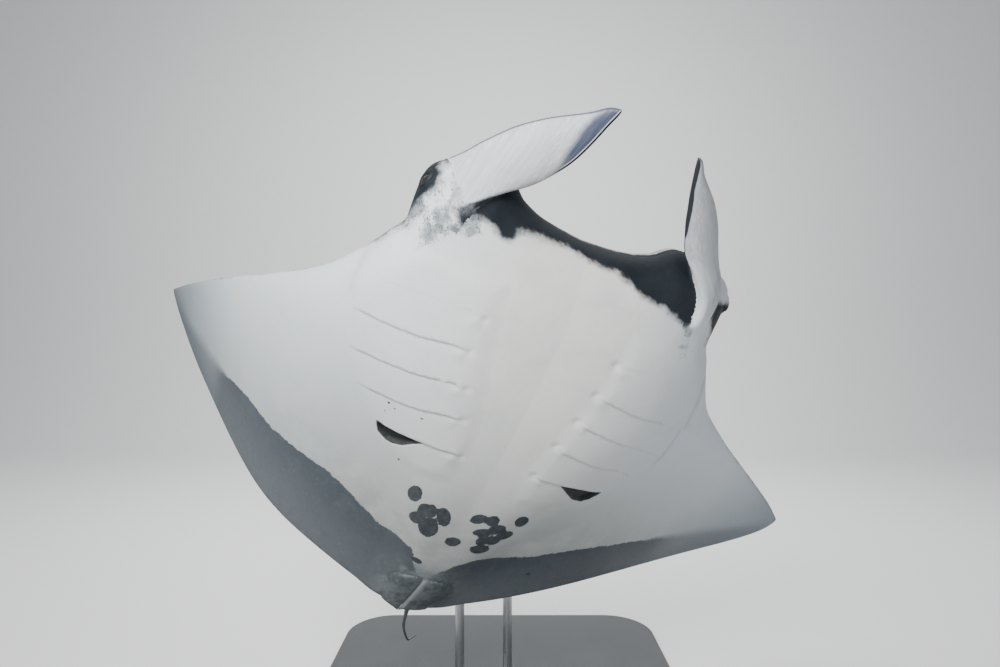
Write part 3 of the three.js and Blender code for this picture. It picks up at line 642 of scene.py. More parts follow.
# ==== relief of the belly =========================================================================
# Lines in flat space, each from its outer end to the midline. First the animal's right, then its left.
SLITS = {
    (1, 1): [(0.150, 0.0875), (0.1321, 0.0916), (0.1256, 0.0929), (0.1, 0.096), (0.0738, 0.0970), (0.0624, 0.0942)],
    (1, 2): [(0.1568, 0.0545), (0.1442, 0.0571), (0.1288, 0.0577), (0.1133, 0.0593), (0.1018, 0.0606), (0.0869, 0.0639), (0.0757, 0.0656), (0.0632, 0.0647)],
    (1, 3): [(0.1502, 0.0239), (0.1445, 0.0222), (0.1368, 0.0232), (0.1262, 0.0241), (0.1125, 0.0258), (0.0980, 0.0275), (0.0829, 0.0305), (0.0678, 0.0340), (0.0530, 0.0330)],
    (1, 4): [(0.1328, -0.0063), (0.1228, -0.0073), (0.1084, -0.0062), (0.0954, -0.0050), (0.0796, -0.0023), (0.0642, 0.0017), (0.0444, 0.0040)],
    (1, 5): [(0.1064, -0.0352), (0.0990, -0.0359), (0.0856, -0.0353), (0.0728, -0.0340), (0.0668, -0.0335), (0.0510, -0.0328), (0.0410, -0.0318), (0.0321, -0.0335)],
    (-1, 1): [(-0.146, 0.083), (-0.13, 0.088), (-0.1, 0.094), (-0.0738, 0.0985), (-0.0507, 0.0959)],
    (-1, 2): [(-0.1550, 0.0500), (-0.1463, 0.0519), (-0.1139, 0.0572), (-0.1055, 0.0570), (-0.0902, 0.0580), (-0.0793, 0.0594), (-0.0696, 0.0614), (-0.0594, 0.0630), (-0.0466, 0.0656)],
    (-1, 3): [(-0.1540, 0.0145), (-0.1495, 0.0153), (-0.1254, 0.0214), (-0.1091, 0.0248), (-0.0943, 0.0268), (-0.0798, 0.0287), (-0.0697, 0.0307), (-0.0611, 0.0322), (-0.0520, 0.0340), (-0.0427, 0.0369)],
    (-1, 4): [(-0.1367, -0.0161), (-0.1200, -0.0090), (-0.1028, -0.0050), (-0.0929, -0.0045), (-0.0805, -0.0032), (-0.0664, -0.0005), (-0.0566, 0.0015), (-0.0483, 0.0030), (-0.0373, 0.0074)],
    (-1, 5): [(-0.1111, -0.0396), (-0.0995, -0.0375), (-0.0855, -0.0346), (-0.0720, -0.0329), (-0.0619, -0.0324), (-0.0339, -0.0300)],
}
# how far each flap stands up and how deep the groove behind it is, in metres
FLAP = {1: (0.0014, 0.001), 2: (0.0027, 0.0024), 3: (0.0029, 0.0025), 4: (0.0028, 0.0025), 5: (0.0036, 0.0026)}
OPENING = {
    1: [(0.1068, -0.0348), (0.0990, -0.0355), (0.0856, -0.0350), (0.0728, -0.0338), (0.0660, -0.0334), (0.0735, -0.0392), (0.0812, -0.0464), (0.0880, -0.0495), (0.0935, -0.0500), (0.1025, -0.0452)],
    -1: [(-0.1115, -0.0394), (-0.0995, -0.0372), (-0.0855, -0.0343), (-0.0720, -0.0326), (-0.0612, -0.0322), (-0.0706, -0.0395), (-0.0830, -0.0491), (-0.0967, -0.0540), (-0.1051, -0.0504), (-0.1099, -0.0439)],
}
DIMPLES = {
    1: [(0.0624, 0.0942), (0.0632, 0.0647), (0.0530, 0.0330), (0.0444, 0.0040), (0.0321, -0.0335)],
    -1: [(-0.0507, 0.0959), (-0.0466, 0.0656), (-0.0427, 0.0369), (-0.0373, 0.0074), (-0.0339, -0.0295)],
}
SIDE_CREASE = {
    1: [[(0.1488, 0.1247), (0.1560, 0.1127), (0.1615, 0.0995), (0.1625, 0.0881), (0.1618, 0.0756), (0.1600, 0.0655), (0.1568, 0.0545)], [(0.164, 0.116), (0.1648, 0.1050), (0.1640, 0.0941), (0.1634, 0.083)]],
    -1: [[(-0.149, 0.115), (-0.1514, 0.0917), (-0.1515, 0.0822), (-0.1542, 0.0661), (-0.1575, 0.0539), (-0.1570, 0.0430)], [(-0.1482, 0.0589), (-0.1512, 0.0465), (-0.1542, 0.0295), (-0.1557, 0.0153), (-0.150, -0.002)]],
}


def ends(t, a, b=None):
    return ease(t / a) * ease((1 - t) / (b or a))


def relief(X, Y):
    """How far the belly stands out (or sinks, below 0) from its smooth form, in metres."""
    P = np.stack([X, Y], -1)
    out = np.zeros(len(P))
    near = (np.abs(X) < 0.2) & (Y > -0.12) & (Y < 0.16)
    Q = P[near]
    h = np.zeros(len(Q))
    for side in (1, -1):
        # the gill field stands a little proud of the belly's middle
        mid = [(side * x * 1.0, y) for x, y in [(0.058, 0.125), (0.056, 0.095), (0.05, 0.065), (0.043, 0.035), (0.036, 0.005), (0.03, -0.03), (0.035, -0.062)]]
        out_line = [(side * x, y) for x, y in [(0.15, 0.125), (0.161, 0.1), (0.1615, 0.075), (0.157, 0.05), (0.151, 0.02), (0.138, -0.01), (0.115, -0.038), (0.09, -0.058), (0.06, -0.068)]]
        field = np.array(mid + out_line[::-1])
        d = polyline_distance(field, Q, closed=True)[0] * WIDTH
        signed = np.where(inside(Q, field), d, -d)
        h += 0.006 * ease((signed + 0.03) / 0.075)
        for (sd, k), line in SLITS.items():
            if sd != side:
                continue
            d, t, left = polyline_distance(line, Q)
            d = d * WIDTH
            # a line drawn from the right wing to the midline has the head on its right
            ahead = left * (-1 if side == 1 else 1) > 0
            up, down = FLAP[k]
            w = ends(t, 0.16, 0.1)
            if k == 1:
                w = w * (0.25 + 0.75 * ease((t - 0.72) / 0.15) + 0.5 * np.exp(-(((t - 0.2) / 0.08) ** 2)))
            h += np.where(ahead, up * np.exp(-((d / 0.055) ** 1.3)), -down * np.exp(-((d / 0.02) ** 1.4))) * w
        for p in DIMPLES[side]:
            r = np.hypot(Q[:, 0] - p[0], (Q[:, 1] - p[1])) * WIDTH
            h -= (0.0045 if side == 1 else 0.007) * np.exp(-((r / 0.014) ** 2))
            p2 = (p[0] + side * 0.007, p[1] - 0.0045)
            r = np.hypot(Q[:, 0] - p2[0], Q[:, 1] - p2[1]) * WIDTH
            h += 0.004 * np.exp(-((r / 0.02) ** 2))
        hole = np.array(OPENING[side])
        d = polyline_distance(hole, Q, closed=True)[0] * WIDTH
        signed = np.where(inside(Q, hole), d, -d)
        h -= 0.024 * ease(signed / 0.014)
        for k, line in enumerate(SIDE_CREASE[side]):
            d, t, _ = polyline_distance(line, Q)
            h -= (0.0065 if k == 0 else 0.004) * (1.0 if side > 0 else 1.6) * np.exp(-((d * WIDTH / (0.016 if k == 0 else 0.010)) ** 1.5)) * ends(t, 0.2)
    out[near] = h
    return out


def slit_rows():
    """Two rows of vertices close together along each flap's edge, so that the edge is sharp."""
    rows = []
    for (side, k), line in SLITS.items():
        if k == 1:
            continue
        A = resample(line, 0.007)
        rows += [offset_line(A, 0.0016), offset_line(A, -0.0016)]
    for side in (1, -1):
        hole = np.array(OPENING[side])
        closed = resample(np.vstack([hole[4:], hole[:1]]), 0.007)
        rows += [closed[1:-1]]
    return rows


# ==== one skin ====================================================================================
def mesh_object(name, V, T):
    me = bpy.data.meshes.new(name)
    me.from_pydata(V.tolist(), [], T.tolist())
    o = bpy.data.objects.new(name, me)
    bpy.context.scene.collection.objects.link(o)
    return o


F = build_flat(slit_rows())
fx, fy = F.P[:, 0], F.P[:, 1]
belly, back, front_d, rear_d = halves(fx, fy)
bump = relief(fx, fy) / WIDTH
off = np.where(F.sheet == -1, -(belly + bump), np.where(F.sheet == 1, back, 0))
# the closed mouth: the front edge of the head folds in between its lips
rim_x, rim_y = fx.copy(), fy.copy()
lip = (F.sheet == 0) & (fy > 0.15) & (np.abs(fx) < MOUTH_HALF)
rim_y[lip] -= 0.013 / WIDTH * ease((1 - np.abs(fx[lip]) / MOUTH_HALF) / 0.2)
body_v = bent(rim_x, rim_y, off)

sources = [("disc", body_v, F.tri, 0)]
horn_parts = {}
for side in (1, -1):
    V, T, m = horn(side)
    horn_parts[side] = m
    sources.append(("horn", V, T, 1 if side > 0 else 2))
tail_v, tail_t, tail_m = tail()
sources.append(("tail", tail_v, tail_t, 3))
V, T = dorsal()
sources.append(("dorsal", V, T, 4))
for side in (1, -1):
    V, T = pelvic(side)
    sources.append(("pelvic", V, T, 5 if side > 0 else 6))

# what each source vertex knows: part, flat x, flat y, sheet, then t, q and face on a fin
know = []
for name, V, T, part in sources:
    K = np.zeros((len(V), 7))
    K[:, 0] = part
    K[:, 1:3] = V[:, :2]
    if part == 0:
        K[:, 1], K[:, 2], K[:, 3] = fx, fy, F.sheet
    elif part in (1, 2):
        K[:, 4:7] = horn_parts[1 if part == 1 else -1]
    elif part == 3:
        K[:, 4:6] = tail_m
    know.append(K)

objs = [mesh_object(n + str(k), to_room(V), T) for k, (n, V, T, _) in enumerate(sources)]
for o in objs[1:]:
    mod = objs[0].modifiers.new("join", "BOOLEAN")
    mod.operation, mod.solver, mod.object = "UNION", "MANIFOLD", o
joined = bpy.data.meshes.new_from_object(objs[0].evaluated_get(bpy.context.evaluated_depsgraph_get()))
all_v = np.concatenate([to_room(V) for _, V, _, _ in sources])
all_k = np.concatenate(know)
for o in objs:
    me = o.data
    bpy.data.objects.remove(o)
    bpy.data.meshes.remove(me)

bm = bmesh.new()
bm.from_mesh(joined)
bmesh.ops.triangulate(bm, faces=[f for f in bm.faces if len(f.verts) > 3])
bm.verts.ensure_lookup_table()
tree = KDTree(len(all_v))
for k, p in enumerate(all_v):
    tree.insert(p, k)
tree.balance()
found = [tree.find(v.co) for v in bm.verts]
LAYERS = ["part", "flat_x", "flat_y", "sheet", "fin_t", "fin_q", "fin_face"]
layers = [bm.verts.layers.float.new(n) for n in LAYERS]
seam_layer = bm.verts.layers.float.new("seam")
for v, (_, s, gap) in zip(bm.verts, found):
    for k, layer in enumerate(layers):
        v[layer] = all_k[s, k]
    v[seam_layer] = float(gap > 2e-5)


def collapse_short(limit, rounds=4):
    """Take out the slivers that the joins leave, one safe edge at a time."""
    for _ in range(rounds):
        near = {e for v in bm.verts if v[seam_layer] > 0.5 for e in v.link_edges}
        short = sorted((e for e in near if e.calc_length() < limit), key=lambda e: (e.calc_length(), e.index))
        used, merge = set(), {}
        for e in short:
            a, b = e.verts
            ra = {x.other_vert(a) for x in a.link_edges}
            rb = {x.other_vert(b) for x in b.link_edges}
            ring = ra | rb | {a, b}
            if ring & used or len(ra & rb) != 2:
                continue
            if a[seam_layer] > b[seam_layer]:
                a, b = b, a
            # a goes into b; no face left may turn over
            ok = True
            for f in a.link_faces:
                if b in f.verts:
                    continue
                pts = [(b.co if x is a else x.co) for x in f.verts]
                n = (pts[1] - pts[0]).cross(pts[2] - pts[0])
                if n.length < 1e-9 or n.normalized().dot(f.normal) < 0.2 and f.calc_area() > 2e-7:
                    ok = False
                    break
            if ok:
                used |= ring
                merge[a] = b
        if not merge:
            break
        bmesh.ops.weld_verts(bm, targetmap=merge)
        bm.verts.index_update()
        bm.edges.index_update()
        bm.normal_update()


bm.edges.index_update()
bm.normal_update()
collapse_short(0.0022)


def values(layer):
    return np.array([v[layer] for v in bm.verts])


def positions():
    return np.array([v.co for v in bm.verts], float)


def neighbours():
    return np.array([(e.verts[0].index, e.verts[1].index) for e in bm.edges])


def smooth(P, edges, weight, rounds):
    n = len(P)
    deg = np.bincount(edges.ravel(), minlength=n)[:, None]
    for _ in range(rounds):
        acc = np.zeros_like(P)
        for k in range(3):
            acc[:, k] = np.bincount(edges[:, 0], P[edges[:, 1], k], n) + np.bincount(edges[:, 1], P[edges[:, 0], k], n)
        P = P + (acc / np.maximum(deg, 1) - P) * weight[:, None]
    return P


bm.verts.index_update()
P = positions()
S = np.where(values(seam_layer) > 0.5)[0]
stree = KDTree(len(S))
for k, i in enumerate(S):
    stree.insert(P[i], k)
stree.balance()
hit = [stree.find(p) for p in P]
dist = np.array([h[2] for h in hit])
body = (P - np.array(BODY_AT)) @ POSE / WIDTH  # back in the body's own frame
near_seam = body[S][[h[1] for h in hit]]
# the blend is broad where a fin grows out of the head and narrow at the small fins
radius = np.where(near_seam[:, 1] > 0.1, 0.075, np.where(near_seam[:, 1] < -0.2, 0.012, 0.03))
# the fin's inner edge stays crisp in front of the dark mouth
part_now, t_now, q_now = values(layers[0]), values(layers[4]), values(layers[5])
radius = np.where(((part_now == 1) | (part_now == 2)) & (q_now < -0.75), np.minimum(radius, np.interp(t_now, [0, 0.08], [0.075, 0.02])), radius)
# and a fold stays between the left fin's outer edge and the head
radius = np.where((near_seam[:, 0] < -0.104) & (near_seam[:, 1] > 0.158), np.minimum(radius, 0.022), radius)
weight = np.clip(1 - dist / radius, 0, 1) ** 1.2 * 0.6
P = smooth(P, neighbours(), weight, 24)
for v, p in zip(bm.verts, P):
    v.co = p
bad = sum(1 for e in bm.edges if len(e.link_faces) != 2)
print("skin", len(bm.verts), "vertices", len(bm.faces), "faces", bad, "open edges", len(S), "on joins")


# ==== lids ========================================================================================
EYE_CENTRE = {side: to_room(np.array([[side * EYE_AT[0] + float(aside(EYE_AT[1])), EYE_AT[1], EYE_AT[2]]]))[0] for side in (1, -1)}
EYE_R = EYE_RADIUS * WIDTH
# each eye looks out to its side, a little forward and down
EYE_LOOK = {side: (np.array([side * 0.93, 0.27, -0.24]) / np.linalg.norm([0.93, 0.27, -0.24])) @ POSE.T for side in (1, -1)}
EYE_UP = {side: np.array([0.0, 0.25, 1.0]) @ POSE.T for side in (1, -1)}


def eye_axes(side):
    z = EYE_LOOK[side]
    y = EYE_UP[side] - z * (EYE_UP[side] @ z)
    y /= np.linalg.norm(y)
    return np.cross(y, z), y, z


for reach in (0.095, 0.06):
    edges = []
    centres = [Vector(EYE_CENTRE[s]) for s in (1, -1)]
    for e in bm.edges:
        m = (e.verts[0].co + e.verts[1].co) / 2
        if min((m - c).length for c in centres) < reach:
            edges.append(e)
    bmesh.ops.subdivide_edges(bm, edges=edges, cuts=1, use_grid_fill=True)
    bmesh.ops.triangulate(bm, faces=[f for f in bm.faces if len(f.verts) > 3])
bm.verts.index_update()
P = positions()
E = neighbours()
dist = np.min([np.linalg.norm(P - EYE_CENTRE[s], axis=1) for s in (1, -1)], axis=0)
P = smooth(P, E, np.clip(1.25 - dist / 0.1, 0, 1) * 0.5, 12)
lid = np.zeros(len(P))
for side in (1, -1):
    X, Y, Z = eye_axes(side)
    v = P - EYE_CENTRE[side]
    d = np.linalg.norm(v, axis=1)
    near = d < 0.12
    w = v[near] / d[near][:, None]
    ax, ay, az = w @ X, w @ Y, w @ Z
    angle = np.degrees(np.arccos(np.clip(az, -1, 1)))
    turn = np.arctan2(ay, ax)
    # the ball is wrapped by skin: a smooth larger-of-two between the head and a sphere round it
    shell = EYE_R + 0.0032 + 0.003 * np.exp(-(((angle - 62) / 16) ** 2))
    k = 0.012
    dd = d[near]
    hh = np.clip(0.5 + 0.5 * (dd - shell) / k, 0, 1)
    out = shell * (1 - hh) + dd * hh + k * hh * (1 - hh)
    out = np.where(angle < 110, out, dd)
    # the opening, wider than tall, with a soft upper lid
    open_at = 1 / np.sqrt((np.cos(turn) / 43) ** 2 + (np.sin(turn) / np.where(ay > 0, 31, 34)) ** 2)
    r = angle / open_at
    gap = ease((1.06 - r) / 0.16)
    ridge = 0.0022 * np.exp(-(((r - 1.16) / 0.13) ** 2)) - 0.0016 * np.exp(-(((r - 1.48) / 0.1) ** 2)) + 0.001 * np.exp(-(((r - 1.7) / 0.12) ** 2))
    out = np.where(angle < 80, out + ridge, out)
    out = out * (1 - gap) + EYE_R * 0.8 * gap
    P[near] = EYE_CENTRE[side] + w * out[:, None]
    lid[near] = np.maximum(lid[near], ease((1.25 - r) / 0.2) * (angle < 90))
lid_layer = bm.verts.layers.float.new("lid")
for v, p, l in zip(bm.verts, P, lid):
    v.co = p
    v[lid_layer] = l


# ==== markings ====================================================================================
BAND = [
    (0.118, 0.178), (0.115, 0.1665), (0.109, 0.1635), (0.1015, 0.1636), (0.0944, 0.1650), (0.0878, 0.1637), (0.0796, 0.1607), (0.0723, 0.1578), (0.0676, 0.1572), (0.0640, 0.1600),
    (0.0625, 0.1645), (0.0593, 0.1672), (0.0435, 0.1668), (0.0252, 0.1656), (0.0066, 0.1643), (-0.0095, 0.1633), (-0.0273, 0.1626), (-0.0387, 0.1606),
    (-0.0459, 0.1574), (-0.0513, 0.1540), (-0.0601, 0.1542), (-0.0712, 0.1546), (-0.0800, 0.1512), (-0.0881, 0.1482), (-0.0950, 0.1474), (-0.1010, 0.1490),
    (-0.1075, 0.157), (-0.113, 0.175), (-0.117, 0.192), (-0.12, 0.25), (0.13, 0.25), (0.124, 0.19),
]
EYE_PATCH = {
    1: [(0.1330, 0.1925), (0.1330, 0.1879), (0.1298, 0.1835), (0.1268, 0.1774), (0.1275, 0.1710), (0.1315, 0.1652), (0.1366, 0.1580), (0.1402, 0.1497), (0.1425, 0.1421), (0.15, 0.134), (0.2, 0.13), (0.2, 0.25), (0.137, 0.25)],
    -1: [(-0.1256, 0.1753), (-0.1178, 0.1728), (-0.1130, 0.1685), (-0.1150, 0.1615), (-0.1190, 0.1550), (-0.1250, 0.1495), (-0.130, 0.140), (-0.136, 0.130), (-0.2, 0.12), (-0.2, 0.1765), (-0.1366, 0.1765)],
}
MARGIN_EDGE = [
    (0.52, -0.0655), (0.44, -0.0725), (0.3407, -0.0794), (0.2878, -0.0884), (0.2374, -0.0934), (0.1890, -0.1057), (0.1526, -0.1133), (0.1307, -0.1190), (0.1149, -0.1280),
    (0.0662, -0.1568), (0.0463, -0.1580), (0.0282, -0.1640), (0.018, -0.184), (0.008, -0.2), (-0.004, -0.197), (-0.0120, -0.1824), (-0.0224, -0.1680), (-0.0382, -0.1584), (-0.0720, -0.1559),
    (-0.0970, -0.1516), (-0.1142, -0.1425), (-0.1457, -0.1301), (-0.1707, -0.1224), (-0.2339, -0.1072), (-0.3131, -0.0864), (-0.3755, -0.0747), (-0.44, -0.0705), (-0.52, -0.0655),
]
SPOTS = [
    (0.0518, -0.0932, 0.0104, 0.0062, 84), (0.0378, -0.1074, 0.0090, 0.0057, 91), (0.0318, -0.1051, 0.0085, 0.0046, 77), (0.0402, -0.1215, 0.0079, 0.0069, 76),
    (0.0188, -0.1080, 0.0123, 0.0064, 65), (0.0263, -0.1271, 0.0134, 0.0090, 77), (-0.0016, -0.1368, 0.0075, 0.0065, 165), (-0.0115, -0.0979, 0.0082, 0.0059, 136),
    (-0.0240, -0.0952, 0.0072, 0.0062, 104), (-0.0212, -0.1135, 0.0088, 0.0050, 151), (-0.0329, -0.1054, 0.0085, 0.0065, 138), (-0.0442, -0.1126, 0.0082, 0.0072, 147),
    (-0.0277, -0.1239, 0.0079, 0.0061, 127), (-0.0365, -0.1226, 0.0073, 0.0068, 29), (-0.0302, -0.1387, 0.0096, 0.0071, 176), (-0.0507, -0.0893, 0.0083, 0.0066, 73),
]
DARK_DOTS = [(0.0178, -0.1774, 0.0066, 0.0035, 19), (0.0770, -0.0641, 0.0015, 0.0012, 98), (-0.1075, -0.1766, 0.0030, 0.0027, 18), (0.1034, -0.0105, 0.0016, 0.0012, 0), (0.0973, -0.0132, 0.0012, 0.001, 0), (0.1038, -0.0207, 0.0012, 0.0009, 0), (0.0752, -0.0098, 0.0012, 0.001, 0)]
SHOULDER = [(0.052, 0.118), (0.09, 0.127), (0.13, 0.122), (0.17, 0.105), (0.22, 0.083), (0.29, 0.052), (0.27, 0.047), (0.2, 0.058), (0.15, 0.056), (0.1, 0.05), (0.07, 0.056), (0.056, 0.08)]
SMUDGES = {
    1: [(0.1214, 0.1459, 0.045, 0.9), (0.1085, 0.1600, 0.04, 1.0), (0.1216, 0.1310, 0.04, 0.35), (0.1416, 0.1430, 0.035, 0.9), (0.1282, 0.1700, 0.035, 0.8), (0.096, 0.1590, 0.03, 0.8), (0.090, 0.1550, 0.022, 0.5), (0.1353, 0.1520, 0.03, 0.9)],
    -1: [(-0.0947, 0.1500, 0.022, 1.0), (-0.1000, 0.1412, 0.022, 0.9), (-0.1003, 0.1315, 0.02, 0.5), (-0.1028, 0.1233, 0.02, 0.4), (-0.131, 0.14, 0.03, 0.6)],
}
BANDS = {
    1: ([0.36, 0.432, 0.5, 0.56, 0.602, 0.673, 0.733, 0.79, 0.851, 0.915, 0.96, 1], [-1.12, -1.0, -0.90, -0.79, -0.72, -0.60, -0.48, -0.28, -0.02, 0.5, 0.85, 1.1]),
    -1: ([0.28, 0.414, 0.507, 0.61, 0.708, 0.794, 0.838, 0.883, 0.919, 0.959, 1], [-1.06, -0.985, -0.93, -0.885, -0.85, -0.83, -0.77, -0.68, -0.5, -0.2, 0.1]),
}


def area_field(P, poly):
    """Signed distance to a closed outline, in metres, above 0 inside."""
    poly = np.array(poly)
    d = polyline_distance(poly, P, closed=True)[0] * WIDTH
    return np.where(inside(P, poly), d, -d)


def ellipse_field(P, e):
    x, y, a, b, deg = e
    c, s = math.cos(math.radians(deg)), math.sin(math.radians(deg))
    u = ((P[:, 0] - x) * c + (P[:, 1] - y) * s) / a
    v = (-(P[:, 0] - x) * s + (P[:, 1] - y) * c) / b
    return (1 - np.hypot(u, v)) * math.sqrt(a * b) * WIDTH


bm.verts.index_update()
K = {n: values(layer) for n, layer in zip(LAYERS, layers)}
K["lid"] = values(lid_layer)
P3 = positions()
body = (P3 - np.array(BODY_AT)) @ POSE / WIDTH
Q = np.stack([K["flat_x"], K["flat_y"]], -1)
N = len(Q)
disc = K["part"] < 0.5
fin_r, fin_l = K["part"] == 1, K["part"] == 2
on_belly = K["sheet"] < 0
front_d, rear_d = rim_distances(Q[:, 0], Q[:, 1])
rim_d = np.minimum(front_d, rear_d) * WIDTH

# dark skin: above 0 where it is dark
ink = np.full(N, -0.2)
side_shift = -0.004 + 0.016 * ease((np.abs(Q[:, 0]) - 0.1) / 0.03) * ease((Q[:, 1] - 0.09) / 0.03) * (np.abs(Q[:, 0]) < 0.2)
# the bulge in front of the left eye is pale to its rim
side_shift -= 0.05 * ease((body[:, 1] - 0.176) / 0.006) * (body[:, 0] < -0.1) * (body[:, 0] > -0.2)
ink[disc] = (np.sign(K["sheet"]) * rim_d + side_shift)[disc]
low = disc & (K["sheet"] <= 0) & (Q[:, 1] > 0.08)
ink[low] = np.maximum(ink[low], area_field(Q[low], BAND))
patch = np.full(N, -0.2)
low = (K["sheet"] <= 0) & (body[:, 1] > 0.1) & (disc | (fin_l & (K["fin_face"] > -0.05) & (K["fin_t"] < 0.25)))
XY = np.where(disc[:, None], Q, body[:, :2])
for s in (1, -1):
    patch[low] = np.maximum(patch[low], area_field(XY[low], EYE_PATCH[s]))
ink[disc] = np.maximum(ink, patch)[disc]

# the grey border along the trailing edge
margin = np.full(N, -0.2)
d, _, side_of = polyline_distance(MARGIN_EDGE, Q)
margin[disc] = (-side_of * d * WIDTH * -1)[disc]

spots = np.full(N, -0.05)
region = disc & on_belly & (Q[:, 1] < 0)
each = np.sort([ellipse_field(Q[region], e) for e in SPOTS], axis=0)
# near each other they run together; a faint seam stays between two that touch
spots[region] = 0.0018 * np.log(np.exp(np.maximum(each, -0.3) / 0.0018).sum(0))
petal = np.full(N, 0.05)
petal[region] = np.where(each[-2] > -0.012, each[-1] - each[-2], 0.05)
dots = np.full(N, -0.05)
dots[region] = np.max([ellipse_field(Q[region], e) for e in DARK_DOTS], axis=0)
gill = np.full(N, -0.05)
region = disc & on_belly & (Q[:, 1] < 0.02) & (Q[:, 1] > -0.1)
for s in (1, -1):
    gill[region] = np.maximum(gill[region], area_field(Q[region], OPENING[s]) + 0.003)

# fine painted shadow lines along the flap edges and creases: signed distance to the nearest one, and how strongly it
# shows
on_belly_side = (K["sheet"] <= 0) | (K["part"] > 4.5)
region = disc & on_belly & (np.abs(Q[:, 0]) < 0.2) & (Q[:, 1] > -0.2)
line_d, line_s = np.full(N, 0.03), np.zeros(N)
R = Q[region]
best, best_s, best_w = np.full(len(R), 0.03), np.zeros(len(R)), np.zeros(len(R))
lines = [(k, line, (0.35 if k == 1 else 1.0)) for (s, k), line in SLITS.items()]
lines += [(1, l, 0.8) for l in SIDE_CREASE[1][:1] + SIDE_CREASE[-1]] + [(2, SIDE_CREASE[1][1], 0.5)]
for k, line, w in lines:
    d, t, sd = polyline_distance(line, R)
    d = d * WIDTH
    m = d < best
    best[m] = d[m]
    best_s[m] = sd[m]
    best_w[m] = (w * ends(t, 0.12, 0.08) * ease(1.6 - d / 0.012))[m]
line_d[region], line_s[region] = np.where(best < 0.03, best_s * best, 0.03), best_w

# painted shadow lines along the crease where the two small fins by the tail meet, and along the outer edge of each
own = np.stack([body[:, 0] - aside(body[:, 1]), body[:, 1]], -1)
crease = [(-0.0006, -0.195), (0.0003, -0.2087), (0.0014, -0.2233), (0.0029, -0.2408), (0.0048, -0.2513), (0.0067, -0.2583)]
region = (own[:, 1] < -0.18) & (np.abs(own[:, 0]) < 0.06) & (disc | (K["part"] > 4.5)) & on_belly_side
d, t, sd = polyline_distance(crease, own[region])
d = d * WIDTH
closer = d < np.abs(line_d[region])
line_d[region] = np.where(closer, d, line_d[region])
line_s[region] = np.where(closer, 1.1 * ends(t, 0.1, 0.02) * ease(1.6 - d / 0.012), line_s[region] * (own[region][:, 1] > -0.2))
# a painted highlight beside the crease, on the left fin's side
crease_highlight = np.zeros(N)
crease_highlight[region] = np.exp(-(((d - 0.011) / 0.008) ** 2)) * ends(t, 0.2, 0.15) * (own[region][:, 0] < np.interp(-own[region][:, 1], -np.array(crease)[:, 1], np.array(crease)[:, 0]))
for line, w in (([(0.0347, -0.2162), (0.032, -0.2235), (0.0297, -0.2294)], 0.6), ([(-0.038, -0.2152), (-0.0355, -0.2235), (-0.0341, -0.2295), (-0.0258, -0.2395)], 0.9)):
    d, t, sd = polyline_distance(line, own[region])
    d = d * WIDTH
    closer = d < np.abs(line_d[region])
    line_d[region] = np.where(closer, d, line_d[region])
    line_s[region] = np.where(closer, w * ends(t, 0.2, 0.2) * ease(1.6 - d / 0.012), line_s[region])

# painted shade along the creases beside the gill field
fold_shade = np.zeros(N)
region = disc & on_belly & (np.abs(Q[:, 0]) > 0.1) & (np.abs(Q[:, 0]) < 0.2) & (Q[:, 1] > -0.06) & (Q[:, 1] < 0.16)
for s in (1, -1):
    for k, line in enumerate(SIDE_CREASE[s]):
        d, t, sd = polyline_distance(line, Q[region])
        d = d * WIDTH
        fold_shade[region] = np.maximum(fold_shade[region], np.exp(-((d / (0.020 if k == 0 else 0.012)) ** 1.4)) * ends(t, 0.2) * (1.0 if s < 0 else 0.6))

# the fins beside the mouth
half_w = np.interp(K["fin_t"], HORN_T, [0.5 * 4.5 * math.hypot(b[0] - a[0], b[1] - a[1]) * math.hypot(1, 0.4) for a, b in zip(HORN_INNER, HORN_OUTER)])
qa = np.arccos(np.clip(K["fin_q"], -1, 1))
d_in, d_out = (1 + K["fin_q"]) * half_w, (1 - K["fin_q"]) * half_w
face = K["fin_face"]
fin = fin_r | fin_l
# near the root the pale skin wraps round the outer edge
wrap = 0.035 * (1 - ease((K["fin_t"] - 0.16) / 0.14)) * ease(0.5 + K["fin_q"])
ink[fin] = (-np.sign(face) * np.minimum(np.minimum(d_in, d_out), 0.05) - wrap)[fin]
band = np.full(N, -0.1)
for m, s in ((fin_r, 1), (fin_l, -1)):
    band[m] = ((np.interp(K["fin_t"], *BANDS[s]) - K["fin_q"]) * half_w)[m]
    band[m] = np.where(face[m] < -0.02, 0.03, band[m])
ink[fin] = np.maximum(ink[fin], np.minimum(patch[fin], 0.05))
# the mouth's dark corner climbs a little way up the right fin's lower edge
wedge = np.minimum((K["fin_t"] - np.interp(K["fin_q"], [-1, -0.9, -0.6], [0.045, 0.055, 0.078])) * 0.7, (np.interp(K["fin_t"], [0.08, 0.098, 0.108, 0.12, 0.138, 0.16, 0.19, 0.215], [-0.45, -0.65, -0.74, -0.84, -0.90, -0.92, -0.95, -1.02]) - K["fin_q"]) * half_w)
# while the left one is pale right round its lower edge
turned = fin_l & (K["fin_t"] < 0.3) & (K["fin_q"] < -0.2) & (face > -0.95)
band[turned & (K["fin_t"] < 0.25)] = -0.1
ink[turned] = np.minimum(ink[turned], -0.04 + 0.05 * ease((K["fin_t"][turned] - 0.22) / 0.06))
# a painted shadow line along the left fin's fold
fold_line = np.array([(0.30, 0.62), (0.287, 0.556), (0.248, 0.292), (0.209, 0.016), (0.177, -0.152), (0.142, -0.404), (0.108, -0.569), (0.085, -0.60), (0.06, -0.60)]) * (0.7, 0.085)
m = fin_l & (face > -0.2) & (K["fin_t"] < 0.32)
d, t, _ = polyline_distance(fold_line, np.stack([K["fin_t"] * 0.7, K["fin_q"] * 0.085], -1)[m])
line_d[m], line_s[m] = np.minimum(d, 0.03), 1.0 * ends(t, 0.15, 0.2) * ease(1.6 - d / 0.012)
ink[fin_r] = np.maximum(ink[fin_r], np.where(K["fin_t"] < 0.25, np.minimum(wedge + 0.012, 0.03), -0.2)[fin_r])

